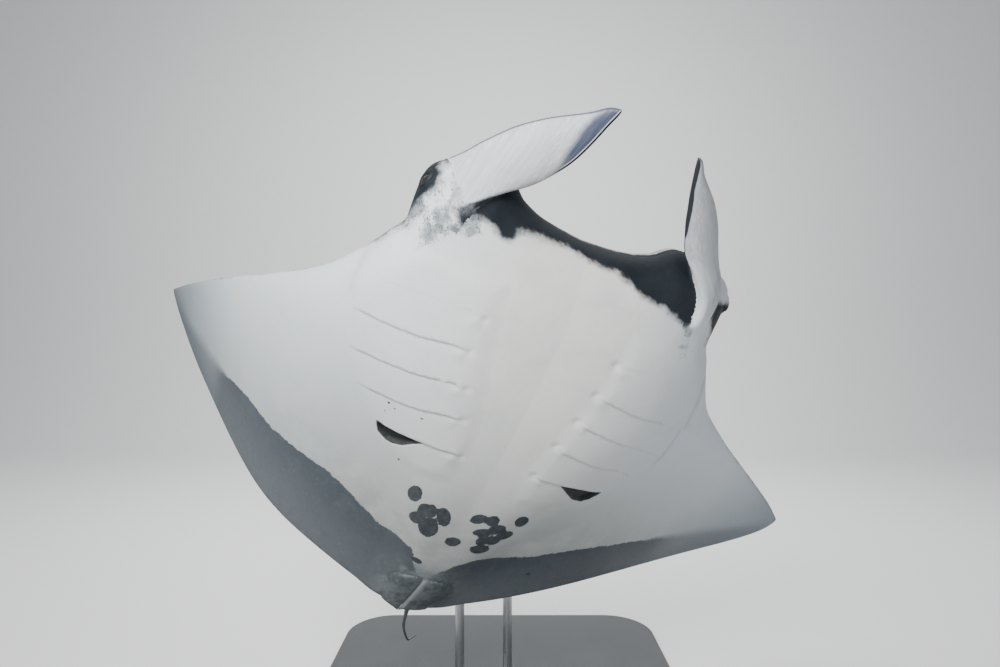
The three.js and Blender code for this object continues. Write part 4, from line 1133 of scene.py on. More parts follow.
smudge = np.zeros(N)
near = (K["sheet"] <= 0) & (body[:, 1] > 0.08) & (face > -0.1)
for s in (1, -1):
    for x, y, r, w in SMUDGES[s]:
        g = min(1.0, 1.15 * w) * np.exp(-((np.hypot(Q[:, 0] - x, Q[:, 1] - y) * WIDTH / (1.45 * r if s > 0 else 1.25 * r)) ** 2))
        smudge = np.maximum(smudge, np.where(near, g, 0))

shoulder = np.full(N, -0.2)
region = disc & (K["sheet"] > 0)
mirrored = np.stack([np.abs(Q[:, 0]), Q[:, 1]], -1)
shoulder[region] = area_field(mirrored[region], SHOULDER)

fin_dir = {1: (-0.25, 0.97), -1: (0.68, 0.73)}
streak_u, streak_v = np.zeros(N), np.zeros(N)
for m, s in ((fin_r, 1), (fin_l, -1)):
    dx, dy = fin_dir[s]
    streak_v[m] = ((body[:, 0] * dx + body[:, 1] * dy) * WIDTH)[m]
    streak_u[m] = ((body[:, 0] * dy - body[:, 1] * dx) * WIDTH)[m]

fields = {
    "ink": ink, "margin": margin, "spots": spots, "dots": dots, "gill": gill, "line_d": line_d, "line_s": line_s, "band": band,
    "d_in": np.where(fin, d_in, 0.2), "d_out": np.where(fin, d_out, 0.2), "smudge": smudge, "shoulder": shoulder, "streak_u": streak_u, "streak_v": streak_v,
    "edge_d": np.where(disc, rear_d * WIDTH, 0.3), "on_fin": np.where(fin, ease((K["fin_t"] - 0.03) / 0.1), 0.0), "pale": np.clip(face, -1, 1) * fin,
    "small": np.where(K["part"] > 2.5, K["part"], 0.0), "lid": K["lid"], "keel": Q[:, 0] * (disc * 1.0) + (body[:, 0] - aside(body[:, 1])) * (~disc),
    "left": (K["part"] == 2) * 1.0, "along": np.where(disc, Q[:, 1], body[:, 1]), "petal": petal, "crease_highlight": crease_highlight, "fold_shade": fold_shade,
}

skin_mesh = bpy.data.meshes.new("skin")
for f in bm.faces:
    f.smooth = True
bmesh.ops.recalc_face_normals(bm, faces=bm.faces)
bm.to_mesh(skin_mesh)
bm.free()
for name, values_ in fields.items():
    old = skin_mesh.attributes.get(name)
    if old:
        skin_mesh.attributes.remove(old)
    a = skin_mesh.attributes.new(name, "FLOAT", "POINT")
    a.data.foreach_set("value", np.asarray(values_, np.float32))
for name in LAYERS + ["seam"]:
    old = skin_mesh.attributes.get(name)
    if old:
        skin_mesh.attributes.remove(old)
skin = bpy.data.objects.new("manta_skin", skin_mesh)
bpy.context.scene.collection.objects.link(skin)


# ==== materials ===================================================================================
class Nodes:
    """Short calls for building a node tree."""

    def __init__(self, name):
        self.mat = bpy.data.materials.new(name)
        self.mat.use_nodes = True
        self.t = self.mat.node_tree
        self.shader = self.t.nodes["Principled BSDF"]

    def put(self, socket, value):
        if isinstance(value, bpy.types.NodeSocket):
            self.t.links.new(value, socket)
        elif isinstance(value, (tuple, list)) and socket.type == "RGBA":
            socket.default_value = (*value[:3], 1)
        else:
            socket.default_value = value

    def attr(self, name):
        n = self.t.nodes.new("ShaderNodeAttribute")
        n.attribute_name = name
        return n.outputs["Fac"]

    def math(self, op, a, b=0.0, c=0.0, clamp=False):
        n = self.t.nodes.new("ShaderNodeMath")
        n.operation, n.use_clamp = op, clamp
        for k, v in enumerate((a, b, c)):
            self.put(n.inputs[k], v)
        return n.outputs[0]

    def add(self, a, b):
        return self.math("ADD", a, b)

    def mul(self, a, b):
        return self.math("MULTIPLY", a, b)

    def step(self, value, lo, hi, a=0.0, b=1.0, soft=True):
        n = self.t.nodes.new("ShaderNodeMapRange")
        n.interpolation_type = "SMOOTHSTEP" if soft else "LINEAR"
        self.put(n.inputs["Value"], value)
        for key, v in (("From Min", lo), ("From Max", hi), ("To Min", a), ("To Max", b)):
            self.put(n.inputs[key], v)
        return n.outputs["Result"]

    def mix(self, fac, a, b, blend="MIX"):
        n = self.t.nodes.new("ShaderNodeMix")
        n.data_type, n.blend_type = "RGBA", blend
        self.put(n.inputs[0], fac)
        self.put(n.inputs[6], a)
        self.put(n.inputs[7], b)
        return n.outputs[2]

    def vector(self, x, y, z):
        n = self.t.nodes.new("ShaderNodeCombineXYZ")
        for k, v in enumerate((x, y, z)):
            self.put(n.inputs[k], v)
        return n.outputs[0]

    def place(self):
        return self.t.nodes.new("ShaderNodeTexCoord").outputs["Object"]

    def noise(self, vec, scale, detail=4.0, rough=0.55, distort=0.0):
        n = self.t.nodes.new("ShaderNodeTexNoise")
        self.put(n.inputs["Vector"], vec)
        n.inputs["Scale"].default_value = scale
        n.inputs["Detail"].default_value = detail
        n.inputs["Roughness"].default_value = rough
        n.inputs["Distortion"].default_value = distort
        return n.outputs["Fac"]

    def cells(self, vec, scale, feature="F1", rand=1.0):
        n = self.t.nodes.new("ShaderNodeTexVoronoi")
        n.feature = feature
        self.put(n.inputs["Vector"], vec)
        n.inputs["Scale"].default_value = scale
        n.inputs["Randomness"].default_value = rand
        return n.outputs["Distance"]

    def stretch(self, vec, scale, turn=(0, 0, 0)):
        n = self.t.nodes.new("ShaderNodeMapping")
        self.put(n.inputs["Vector"], vec)
        n.inputs["Scale"].default_value = scale
        n.inputs["Rotation"].default_value = turn
        return n.outputs[0]

    def bump(self, height, distance, strength=1.0, normal=None):
        n = self.t.nodes.new("ShaderNodeBump")
        n.inputs["Distance"].default_value = distance
        n.inputs["Strength"].default_value = strength
        self.put(n.inputs["Height"], height)
        if normal is not None:
            self.put(n.inputs["Normal"], normal)
        return n.outputs[0]


def skin_material():
    g = Nodes("manta_skin")
    at = g.place()
    centred = lambda v: g.add(v, -0.5)
    n_big = g.noise(at, 1.3, 3)
    n_mid = g.noise(at, 7.0, 5, 0.6)
    n_fine = g.noise(at, 34.0, 5, 0.65)
    n_grain = g.noise(at, 160.0, 3, 0.6)
    wobble = g.add(g.mul(centred(n_mid), 1.0), g.mul(centred(n_fine), 0.6))

    # belly: a cool off-white, a little warmer along the middle and brighter there as painted light
    keel = g.math("ABSOLUTE", g.attr("keel"))
    middle = g.step(g.add(keel, g.mul(centred(n_big), 0.06)), 0.16, 0.02)
    belly = g.mix(middle, (0.545, 0.595, 0.64), (0.66, 0.66, 0.65))
    belly = g.mix(g.mul(g.step(n_mid, 0.45, 0.75), 0.35), belly, (0.49, 0.535, 0.585))
    # painted shade: the belly darker towards its rear
    low = g.step(g.add(g.attr("along"), g.mul(centred(n_big), 0.05)), 0.05, -0.17)
    belly = g.mix(g.mul(low, 0.95), belly, g.mix(g.step(n_mid, 0.4, 0.65), (0.275, 0.297, 0.288), (0.335, 0.355, 0.35)))
    blotch = g.noise(g.stretch(at, (1, 1, 1.6)), 4.5, 4, 0.6)
    belly = g.mix(g.mul(g.step(blotch, 0.5, 0.72), 0.32), belly, (0.52, 0.515, 0.485))
    # painted shade: the belly darker out towards the wing tips
    tip_shade = g.step(g.add(keel, g.mul(g.add(g.attr("edge_d"), -0.3), -0.25)), 0.20, 0.52)
    belly = g.mix(g.mul(tip_shade, g.step(g.attr("keel"), 0.1, -0.1, 0.78, 0.92)), belly, (0.16, 0.205, 0.24))
    # painted shade along the creases beside the gill field
    belly = g.mix(g.mul(g.attr("fold_shade"), 0.42), belly, (0.30, 0.325, 0.35))
    belly = g.mix(g.mul(g.step(n_fine, 0.5, 0.72), 0.12), belly, (0.44, 0.46, 0.47))
    belly = g.mix(g.mul(g.step(n_grain, 0.62, 0.8), 0.10), belly, (0.36, 0.38, 0.39))

    # grey border of the trailing edge, with a ragged inner outline and paler towards the rim
    margin = g.attr("margin")
    teeth = g.noise(at, 60.0, 4, 0.6)
    ragged = g.add(margin, g.add(g.mul(wobble, 0.032), g.mul(centred(teeth), 0.022)))
    out_there = g.math("MAXIMUM", g.step(g.attr("keel"), 0.26, 0.33), g.step(g.attr("keel"), -0.20, -0.32))
    soft = g.add(g.mul(out_there, 0.045), 0.0032)
    m_in = g.step(ragged, g.mul(soft, -1.0), soft)
    rim = g.step(g.add(g.attr("edge_d"), g.mul(centred(n_mid), 0.10)), 0.34, 0.02)
    grey = g.mix(rim, (0.056, 0.068, 0.081), (0.100, 0.114, 0.126))
    grey = g.mix(g.mul(out_there, 0.6), grey, (0.062, 0.078, 0.093))
    clouds = g.noise(g.stretch(at, (1.3, 1, 1)), 9.0, 5, 0.65)
    grey = g.mix(g.mul(g.step(clouds, 0.42, 0.68), 0.45), grey, (0.085, 0.101, 0.115))
    grey = g.mix(g.mul(g.step(n_fine, 0.5, 0.75), 0.3), grey, (0.055, 0.066, 0.076))
    grey = g.mix(g.mul(g.step(teeth, 0.55, 0.75), 0.15), grey, (0.19, 0.205, 0.215))
    # by the vent the border breaks up into lighter, mottled skin
    vent = g.mul(g.step(g.add(keel, g.mul(centred(n_mid), 0.03)), 0.062, 0.022), g.step(g.attr("along"), -0.17, -0.205))
    vent_col = g.mix(g.step(g.add(n_mid, g.mul(centred(n_fine), 0.5)), 0.4, 0.62), (0.080, 0.093, 0.102), (0.165, 0.184, 0.196))
    grey = g.mix(g.mul(vent, 0.85), grey, vent_col)
    m_in = g.math("MAXIMUM", m_in, g.mul(vent, g.step(n_fine, 0.35, 0.6, 0.55, 1.0)))
    m_in = g.mul(m_in, g.step(out_there, 0.2, 1.0, 1.0, 0.6))
    col = g.mix(m_in, belly, grey)
    shade = g.mul(g.mul(out_there, g.step(g.add(g.attr("edge_d"), g.mul(centred(n_mid), 0.05)), 0.15, -0.01)), 0.72)
    col = g.mix(shade, col, (0.095, 0.115, 0.135))

    # spots, each a little mottled, and small dark flecks
    inside_spot = g.step(g.add(g.attr("spots"), g.add(g.mul(centred(n_fine), 0.004), g.mul(centred(teeth), 0.012))), -0.0022, 0.0004)
    spot_col = g.mix(g.step(n_fine, 0.35, 0.7), (0.034, 0.041, 0.047), (0.058, 0.067, 0.074))
    spot_col = g.mix(g.mul(g.step(g.math("ABSOLUTE", g.add(g.attr("petal"), g.mul(centred(teeth), 0.003))), 0.0030, 0.0004), 0.6), spot_col, (0.20, 0.215, 0.22))
    col = g.mix(inside_spot, col, spot_col)
    col = g.mix(g.step(g.add(g.attr("dots"), g.mul(centred(n_fine), 0.003)), -0.001, 0.0012), col, (0.045, 0.052, 0.056))

    # gill openings: painted dark as shade inside the recess, greyer towards the ragged rear rim
    gill = g.attr("gill")
    gill_in = g.step(g.add(gill, g.mul(centred(n_fine), 0.006)), -0.001, 0.0025)
    gill_shade_col = g.mix(g.step(g.add(gill, g.mul(centred(n_fine), 0.012)), 0.0, 0.014), (0.036, 0.041, 0.044), (0.020, 0.023, 0.025))
    col = g.mix(gill_in, col, gill_shade_col)

    # fine painted shadow lines under the flap edges and in the creases
    ld = g.math("ABSOLUTE", g.attr("line_d"))
    shade_line = g.mul(g.step(ld, 0.0028, 0.0005), g.mul(g.attr("line_s"), g.step(n_fine, 0.3, 0.6, 0.35, 1.0)))
    # painted highlight beside the crease by the tail
    col = g.mix(g.mul(g.attr("crease_highlight"), 0.75), col, (0.50, 0.52, 0.53))
    col = g.mix(g.mul(shade_line, g.step(g.attr("along"), -0.18, -0.19, 0.12, 0.85)), col, g.mix(g.step(g.attr("along"), -0.18, -0.19), (0.24, 0.255, 0.265), (0.08, 0.09, 0.095)))

    # grey smudges and grains at the roots of the head fins
    smudge = g.attr("smudge")
    cloud = g.mul(g.step(g.add(g.mul(smudge, 0.62), g.mul(centred(g.noise(at, 15.0, 5, 0.65)), 2.2)), 0.18, 0.66), g.mul(g.step(smudge, 0.08, 0.4), 0.88))
    cloud_col = g.mix(g.step(n_fine, 0.35, 0.65), (0.105, 0.128, 0.148), (0.235, 0.262, 0.285))
    col = g.mix(cloud, col, cloud_col)
    grains = g.noise(g.stretch(at, (1.0, 1.0, 0.55)), 130.0, 3, 0.7)
    flecks = g.mul(g.step(g.add(g.mul(smudge, 0.13), grains), 0.655, 0.72), g.step(smudge, 0.1, 0.45))
    col = g.mix(g.mul(flecks, 0.8), col, (0.06, 0.068, 0.075))
    glints = g.mul(g.step(g.noise(at, 95.0, 3, 0.7), 0.62, 0.72), g.step(smudge, 0.3, 0.8))
    col = g.mix(g.mul(glints, 0.6), col, (0.6, 0.62, 0.64))

    # charcoal skin of the mouth, the eye patches and the back
    ink = g.attr("ink")
    n_feather = g.noise(at, 22.0, 5, 0.6)
    ragged_ink = g.add(ink, g.add(g.mul(centred(n_mid), 0.030), g.mul(centred(n_feather), 0.05)))
    dark_in = g.step(ragged_ink, -0.017, 0.017)
    char = g.mix(g.step(n_mid, 0.35, 0.7), (0.0075, 0.0108, 0.0150), (0.0135, 0.0180, 0.0235))
    char = g.mix(g.mul(g.step(n_fine, 0.55, 0.8), 0.3), char, (0.023, 0.029, 0.036))
    # the back's pale shoulder patches
    sh = g.add(g.attr("shoulder"), g.add(g.mul(centred(n_mid), 0.11), g.mul(centred(n_feather), 0.05)))
    shoulder_col = g.mix(g.step(n_mid, 0.35, 0.65), (0.26, 0.285, 0.30), (0.40, 0.42, 0.43))
    char = g.mix(g.step(sh, -0.012, 0.055), char, shoulder_col)
    col_disc = g.mix(dark_in, col, char)

    # head fins: pale and finely streaked inside, dark outside
    lines = g.vector(g.mul(g.attr("streak_u"), 150.0), g.mul(g.attr("streak_v"), 9.0), g.attr("left"))
    s1 = g.noise(lines, 1.0, 3, 0.6)
    lines2 = g.vector(g.mul(g.attr("streak_u"), 60.0), g.mul(g.attr("streak_v"), 5.0), 3.0)
    s2 = g.noise(lines2, 1.0, 4, 0.6)
    pale = g.mix(g.step(s2, 0.35, 0.7), (0.40, 0.43, 0.465), (0.49, 0.51, 0.535))
    # short fine strokes, thickest towards the outer edge and the band
    strokes = g.noise(g.vector(g.mul(g.attr("streak_u"), 190.0), g.mul(g.attr("streak_v"), 34.0), g.add(g.attr("left"), 5.0)), 1.0, 3, 0.6)
    outer = g.math("MAXIMUM", g.step(g.add(g.attr("d_out"), g.mul(centred(n_mid), 0.05)), 0.10, 0.02), g.step(g.add(g.attr("band"), g.mul(centred(n_mid), 0.05)), -0.09, -0.01))
    pale = g.mix(g.mul(g.mul(g.step(strokes, 0.56, 0.68), outer), 0.55), pale, (0.30, 0.32, 0.37))
    pale = g.mix(g.mul(g.mul(g.step(strokes, 0.44, 0.34), outer), 0.55), pale, (0.76, 0.77, 0.78))
    pale = g.mix(g.mul(g.step(s1, 0.62, 0.74), 0.22), pale, (0.70, 0.71, 0.72))
    pale = g.mix(g.mul(g.step(s1, 0.40, 0.3), 0.14), pale, (0.40, 0.415, 0.44))
    band = g.add(g.attr("band"), g.mul(centred(s2), g.step(g.attr("left"), 0, 1, 0.028, 0.008)))
    band_col = g.mix(g.attr("left"), g.mix(g.step(s1, 0.4, 0.65), (0.050, 0.064, 0.103), (0.082, 0.097, 0.145)), (0.022, 0.026, 0.031))
    pale = g.mix(g.step(band, g.step(g.attr("left"), 0, 1, -0.014, -0.002), g.step(g.attr("left"), 0, 1, 0.016, 0.002)), pale, band_col)
    lilac = g.mul(g.mul(g.step(g.math("ABSOLUTE", g.add(band, 0.004)), 0.006, 0.002), g.attr("left")), 0.6)
    pale = g.mix(lilac, pale, (0.42, 0.42, 0.50))
    # outer edge line
    d_out = g.add(g.attr("d_out"), g.mul(centred(s1), 0.006))
    pale = g.mix(g.mul(g.step(d_out, 0.013, 0.004), 0.9), pale, (0.058, 0.062, 0.105))
    # a painted white highlight line and a black rim along the outer half of the inner edge
    d_in = g.attr("d_in")
    on_right = g.mul(g.step(g.attr("left"), 1.0, 0.0), g.step(g.attr("band"), 0.0, 0.01))
    white = g.mul(g.step(g.math("ABSOLUTE", g.add(d_in, -0.0062)), 0.0019, 0.0006), on_right)
    pale = g.mix(g.mul(white, 0.85), pale, (0.72, 0.73, 0.76))
    pale = g.mix(g.mul(g.step(d_in, 0.0050, 0.0034), on_right), pale, (0.02, 0.02, 0.026))
    fin_dark = g.mix(g.step(s2, 0.4, 0.7), (0.018, 0.022, 0.028), (0.034, 0.04, 0.05))
    fin_col = pale
    patch = g.step(g.add(g.attr("ink"), g.add(g.mul(centred(n_mid), 0.03), g.mul(centred(n_feather), 0.03))), 0.004, 0.018)
    patch = g.math("MAXIMUM", patch, g.mul(g.step(g.attr("ink"), -0.0015, 0.0015), g.step(g.attr("pale"), 0.02, -0.02)))
    fin_col = g.mix(patch, fin_col, fin_dark)
    fin_col = g.mix(g.mul(cloud, 0.8), fin_col, cloud_col)
    fin_col = g.mix(g.mul(flecks, 0.8), fin_col, (0.06, 0.068, 0.075))
    # painted shadow line along the left fin's fold
    fin_col = g.mix(g.mul(shade_line, g.mul(g.attr("left"), 0.7)), fin_col, (0.16, 0.175, 0.195))
    out = g.mix(g.attr("on_fin"), col_disc, fin_col)

    # tail and the small fins near it
    small = g.attr("small")
    small_col = g.mix(g.step(g.add(n_mid, g.mul(centred(n_fine), 0.8)), 0.35, 0.65), (0.062, 0.074, 0.078), (0.115, 0.131, 0.138))
    out = g.mix(g.step(small, 2.4, 2.9, soft=False), out, g.mix(g.step(n_fine, 0.35, 0.7), (0.085, 0.095, 0.1), (0.15, 0.163, 0.17)))
    out = g.mix(g.step(small, 3.4, 3.9, soft=False), out, g.mix(g.step(n_fine, 0.4, 0.7), (0.016, 0.02, 0.026), (0.03, 0.036, 0.043)))
    # the small fins by the tail are skin like that around them, with a painted highlight and painted shadow lines along
    # their creases
    fins_col = g.mix(g.mul(g.attr("crease_highlight"), 0.6), small_col, (0.36, 0.39, 0.40))
    fins_col = g.mix(g.mul(shade_line, 0.85), fins_col, (0.04, 0.046, 0.05))
    out = g.mix(g.step(small, 4.4, 4.9, soft=False), out, fins_col)
    # lids
    out = g.mix(g.mul(g.attr("lid"), 0.9), out, (0.011, 0.0135, 0.017))
    g.put(g.shader.inputs["Base Color"], out)

    rough = g.add(g.mul(n_mid, 0.16), g.mul(n_fine, 0.12))
    g.put(g.shader.inputs["Roughness"], g.add(rough, 0.42))
    wrinkle = g.noise(g.stretch(at, (1, 1, 1)), 55.0, 5, 0.6, 0.4)
    pores = g.cells(at, 420.0)
    h = g.add(g.mul(wrinkle, 1.0), g.mul(pores, 0.25))
    g.put(g.shader.inputs["Normal"], g.bump(h, 0.0016, 0.45))
    g.shader.inputs["Specular IOR Level"].default_value = 0.17
    g.shader.inputs["Subsurface Weight"].default_value = 0.0
    return g.mat


skin_mesh.materials.append(skin_material())
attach(skin, "root")
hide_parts("head", "trunk", "pectoral_fin_right", "pectoral_fin_left", "cephalic_fin_right", "cephalic_fin_left", "dorsal_fin", "tail", "pelvic_fin_right", "pelvic_fin_left")


# ==== where each face lies on the flat sheet of textures ==========================================
def front_stretch(X, Y):
    """How much further out the rounded rim of the head lies when it is laid flat, and which way that is."""
    e = 1e-4
    d = rim_distances(X, Y)[0]
    gx = (rim_distances(X + e, Y)[0] - rim_distances(X - e, Y)[0]) / (2 * e)
    gy = (rim_distances(X, Y + e)[0] - rim_distances(X, Y - e)[0]) / (2 * e)
    depth = np.interp(np.abs(X), [0, 0.15, 0.2, 0.3], [0.034, 0.02, 0.008, 0.0])
    # arc of a quarter ellipse, from the point at depth d to where it levels out
    f = np.linspace(0, 1, 60)
    grid = HEAD_ROUND * (1 - np.cos(f * math.pi / 2))
    rise = np.sin(f * math.pi / 2)
    extra = np.zeros(len(X))
    for h in (0.0, 0.01, 0.02, 0.034):
        arc = np.concatenate([[0], np.cumsum(np.hypot(np.diff(grid), h * np.diff(rise)))])
        left = (arc[-1] - np.interp(d, grid, arc)) - (HEAD_ROUND - np.minimum(d, HEAD_ROUND))
        extra = np.where(depth >= h - 0.005, left, extra)
    n = np.maximum(np.hypot(gx, gy), 1e-9)
    return np.stack([-gx / n * extra, -gy / n * extra], -1)


UV_SCALE = 0.955
nv = len(skin_mesh.vertices)
face_of = np.repeat(np.arange(len(skin_mesh.polygons)), 3)
corner = np.zeros(len(face_of), int)
skin_mesh.loops.foreach_get("vertex_index", corner)
tri3 = corner.reshape(-1, 3)
part3 = np.rint(K["part"])[tri3]
is_fin = (part3 > 0.5).all(1)
piece = np.where(is_fin, part3[:, 0], 0).astype(int)
sheet3 = K["sheet"][tri3].mean(1)
XY = np.where(disc[:, None], Q, body[:, :2])
spread_xy = XY + np.where(disc[:, None] & (Q[:, 1:2] > -0.02), front_stretch(Q[:, 0], Q[:, 1]), 0)
uv = np.zeros((len(corner), 2))
c_face = face_of
base = spread_xy[corner] * UV_SCALE
normal = np.zeros(len(skin_mesh.polygons) * 3)
skin_mesh.polygons.foreach_get("normal", normal)
n_body = normal.reshape(-1, 3) @ POSE


def put_island(mask_face, coords, at, size=None):
    """Lay these faces' corners down with their lower left at `at`, on the sheet."""
    m = mask_face[c_face]
    if not m.any():
        return
    q = coords[m]
    lo = q.min(0)
    q = q - lo
    if size is not None:
        q = q * min(1.0, size[0] / max(q[:, 0].max(), 1e-9), size[1] / max(q[:, 1].max(), 1e-9))
    uv[m] = q + at


below = (piece == 0) & ((sheet3 < 0) | ((sheet3 == 0) & (n_body[:, 2] < 0)))
above = (piece == 0) & ~below
for m, v0 in ((below, 0.27), (above, 0.755)):
    mc = m[c_face]
    uv[mc] = base[mc] + (0.5, v0)
turned = {}
for s, k in ((1, 1), (-1, 2)):
    a = math.atan2(0.131, -0.085 * 1.12)
    q = np.stack([body[:, 0] * s * 1.12, body[:, 1]], -1)
    turned[k] = np.stack([q[:, 0] * math.cos(a) + q[:, 1] * math.sin(a), -q[:, 0] * math.sin(a) + q[:, 1] * math.cos(a)], -1)[corner] * UV_SCALE
face3 = K["fin_face"][tri3].mean(1)
put_island((piece == 1) & (face3 >= 0), turned[1], (0.80, 0.335), (0.19, 0.085))
put_island((piece == 1) & (face3 < 0), turned[1], (0.80, 0.425), (0.19, 0.085))
put_island((piece == 2) & (face3 >= 0), turned[2], (0.01, 0.335), (0.19, 0.085))
put_island((piece == 2) & (face3 < 0), turned[2], (0.01, 0.425), (0.19, 0.085))
q = np.stack([K["fin_t"][corner] * 0.2, K["fin_q"][corner]], -1)
turn3 = q[:, 1].reshape(-1, 3)
wraps = (np.ptp(turn3, axis=1) > 0.5)[:, None] & (turn3 < 0.5)
q[:, 1] = (turn3 + wraps).ravel() * 0.05
put_island(piece == 3, q, (0.01, 0.84))
side_on = np.stack([body[:, 1], body[:, 2]], -1)[corner] * UV_SCALE
put_island((piece == 4) & (n_body[:, 0] >= 0), side_on, (0.01, 0.92))
put_island((piece == 4) & (n_body[:, 0] < 0), side_on, (0.09, 0.92))
plan = body[:, :2][corner] * UV_SCALE
for k, (p, up) in enumerate(((5, True), (5, False), (6, True), (6, False))):
    put_island((piece == p) & ((n_body[:, 2] >= 0) == up), plan, (0.80 + 0.045 * k, 0.90))
layer = skin_mesh.uv_layers.new(name="OFBake", do_init=False)
layer.uv.foreach_set("vector", uv.astype(np.float32).ravel())
print("uv", uv.min(0), uv.max(0))


# ==== eyes and stand ==============================================================================
def grid_faces(rows, cols, wrap=True):
    faces = []
    for i in range(rows - 1):
        for j in range(cols if wrap else cols - 1):
            k = (j + 1) % cols
            faces.append((i * cols + j, i * cols + k, (i + 1) * cols + k, (i + 1) * cols + j))
    return faces


def piece_of(name, verts, faces, material, node, angle=None):
    """One closed piece, its faces turned outward, in the place of a solid of the CAD part."""
    me = bpy.data.meshes.new(name)
    me.from_pydata([tuple(v) for v in verts], [], faces)
    b = bmesh.new()
    b.from_mesh(me)
    bmesh.ops.remove_doubles(b, verts=b.verts, dist=1e-5)
    bmesh.ops.recalc_face_normals(b, faces=b.faces)
    for f in b.faces:
        f.smooth = True
    if angle:
        for e in b.edges:
            e.smooth = len(e.link_faces) < 2 or e.calc_face_angle(0) < math.radians(angle)
    b.to_mesh(me)
    print(name, len(me.vertices), "vertices", sum(1 for e in b.edges if len(e.link_faces) != 2), "open edges")
    b.free()
    me.materials.append(material)
    o = bpy.data.objects.new(name, me)
    bpy.context.scene.collection.objects.link(o)
    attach(o, "root")
    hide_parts(node)
    return o


def eye_material():
    g = Nodes("manta_eye")
    at = g.attr("iris_r")  # 0 in the middle of the eye, 1 at the rim of the iris
    turn = g.attr("iris_a")
    place = g.place()
    rays = g.noise(g.vector(g.mul(turn, 9.0), g.mul(at, 1.2), 0.0), 1.0, 4, 0.6)
    veins = g.noise(place, 120.0, 4, 0.6)
    iris = g.mix(g.step(rays, 0.35, 0.68), (0.008, 0.0075, 0.0072), (0.022, 0.0195, 0.017))
    iris = g.mix(g.step(at, 0.72, 1.0), iris, (0.012, 0.011, 0.011))
    white = g.mix(g.step(veins, 0.4, 0.65), (0.022, 0.024, 0.027), (0.045, 0.049, 0.053))
    col = g.mix(g.step(g.add(at, g.mul(g.add(veins, -0.5), 0.05)), 0.98, 1.04), iris, white)
    pupil = g.step(g.attr("pupil"), -0.04, 0.04)
    col = g.mix(pupil, col, (0.0025, 0.0025, 0.003))
    g.put(g.shader.inputs["Base Color"], col)
    g.put(g.shader.inputs["Roughness"], g.step(veins, 0.3, 0.7, 0.07, 0.13))
    g.put(g.shader.inputs["Normal"], g.bump(veins, 0.0002, 0.15))
    g.shader.inputs["Specular IOR Level"].default_value = 0.5
    return g.mat


eye_mat = eye_material()
for side, word in ((1, "right"), (-1, "left")):
    X, Y, Z = eye_axes(side)
    rows, cols = 49, 96
    verts, ir, ia, pu = [], [], [], []
    for i in range(rows):
        polar = math.pi * i / (rows - 1)
        for j in range(cols):
            a = 2 * math.pi * j / cols
            d = np.array([math.sin(polar) * math.cos(a), math.sin(polar) * math.sin(a), math.cos(polar)])
            # the clear front is a little flatter than the ball behind it
            r = EYE_R * (1 - 0.014 * math.exp(-((polar / 0.35) ** 2)))
            verts.append(EYE_CENTRE[side] + (X * d[0] + Y * d[1] + Z * d[2]) * r)
    eye = piece_of("eyeball_" + word, verts, grid_faces(rows, cols), eye_mat, "eye_" + word)
    me = eye.data
    p = np.array([v.co for v in me.vertices]) - EYE_CENTRE[side]
    p /= np.linalg.norm(p, axis=1)[:, None]
    x, y, z = p @ X, p @ Y, p @ Z
    polar = np.degrees(np.arccos(np.clip(z, -1, 1)))
    around = np.arctan2(y, x)
    # a ray's pupil is a dark crescent, notched from above by a flap
    u, v = polar * np.cos(around) / 15.0, polar * np.sin(around) / 10.5
    pupil = np.minimum(1 - np.hypot(u, v), np.hypot(u / 0.62, (v - 0.62) / 0.72) - 1)
    for name, val in (("iris_r", polar / 33.0), ("iris_a", np.abs(around)), ("pupil", pupil)):
        at = me.attributes.new(name, "FLOAT", "POINT")
        at.data.foreach_set("value", np.asarray(val, np.float32))


def steel_material(name, tint, low, high):
    """Satin steel: fine cloudy grain and faint handling marks."""
    g = Nodes(name)
    at = g.place()
    n1 = g.noise(at, 9.0, 5, 0.6)
    n2 = g.noise(g.stretch(at, (1, 1, 0.08)), 320.0, 3, 0.5)
    n3 = g.noise(at, 60.0, 4, 0.6)
    tone = g.add(g.mul(n1, 0.5), g.mul(n2, 0.5))
    dark = tuple(c * 0.82 for c in tint)
    g.put(g.shader.inputs["Base Color"], g.mix(g.step(tone, 0.35, 0.65), dark, tint))
    g.put(g.shader.inputs["Roughness"], g.step(g.add(g.mul(n3, 0.6), g.mul(n1, 0.4)), 0.3, 0.7, low, high))
    g.put(g.shader.inputs["Normal"], g.bump(n2, 0.0001, 0.2))
    g.shader.inputs["Metallic"].default_value = 1.0
    return g.mat


def paint_material():
    """Powder coat: fine orange peel, and a little uneven."""
    g = Nodes("base_powder_coat")
    at = g.place()
    n1, n2, n3 = g.noise(at, 4.0, 5, 0.6), g.noise(at, 230.0, 2, 0.5), g.noise(at, 36.0, 4, 0.6)
    col = g.mix(g.step(n1, 0.35, 0.65), (0.045, 0.05, 0.055), (0.058, 0.063, 0.068))
    col = g.mix(g.mul(g.step(n3, 0.6, 0.78), 0.22), col, (0.07, 0.075, 0.08))
    g.put(g.shader.inputs["Base Color"], col)
    g.put(g.shader.inputs["Roughness"], g.step(g.add(g.mul(n2, 0.5), g.mul(n1, 0.5)), 0.3, 0.7, 0.40, 0.52))
    g.put(g.shader.inputs["Normal"], g.bump(n2, 0.0003, 0.25))
    return g.mat


steel = steel_material("stand_steel", (0.46, 0.47, 0.48), 0.26, 0.38)
paint = paint_material()

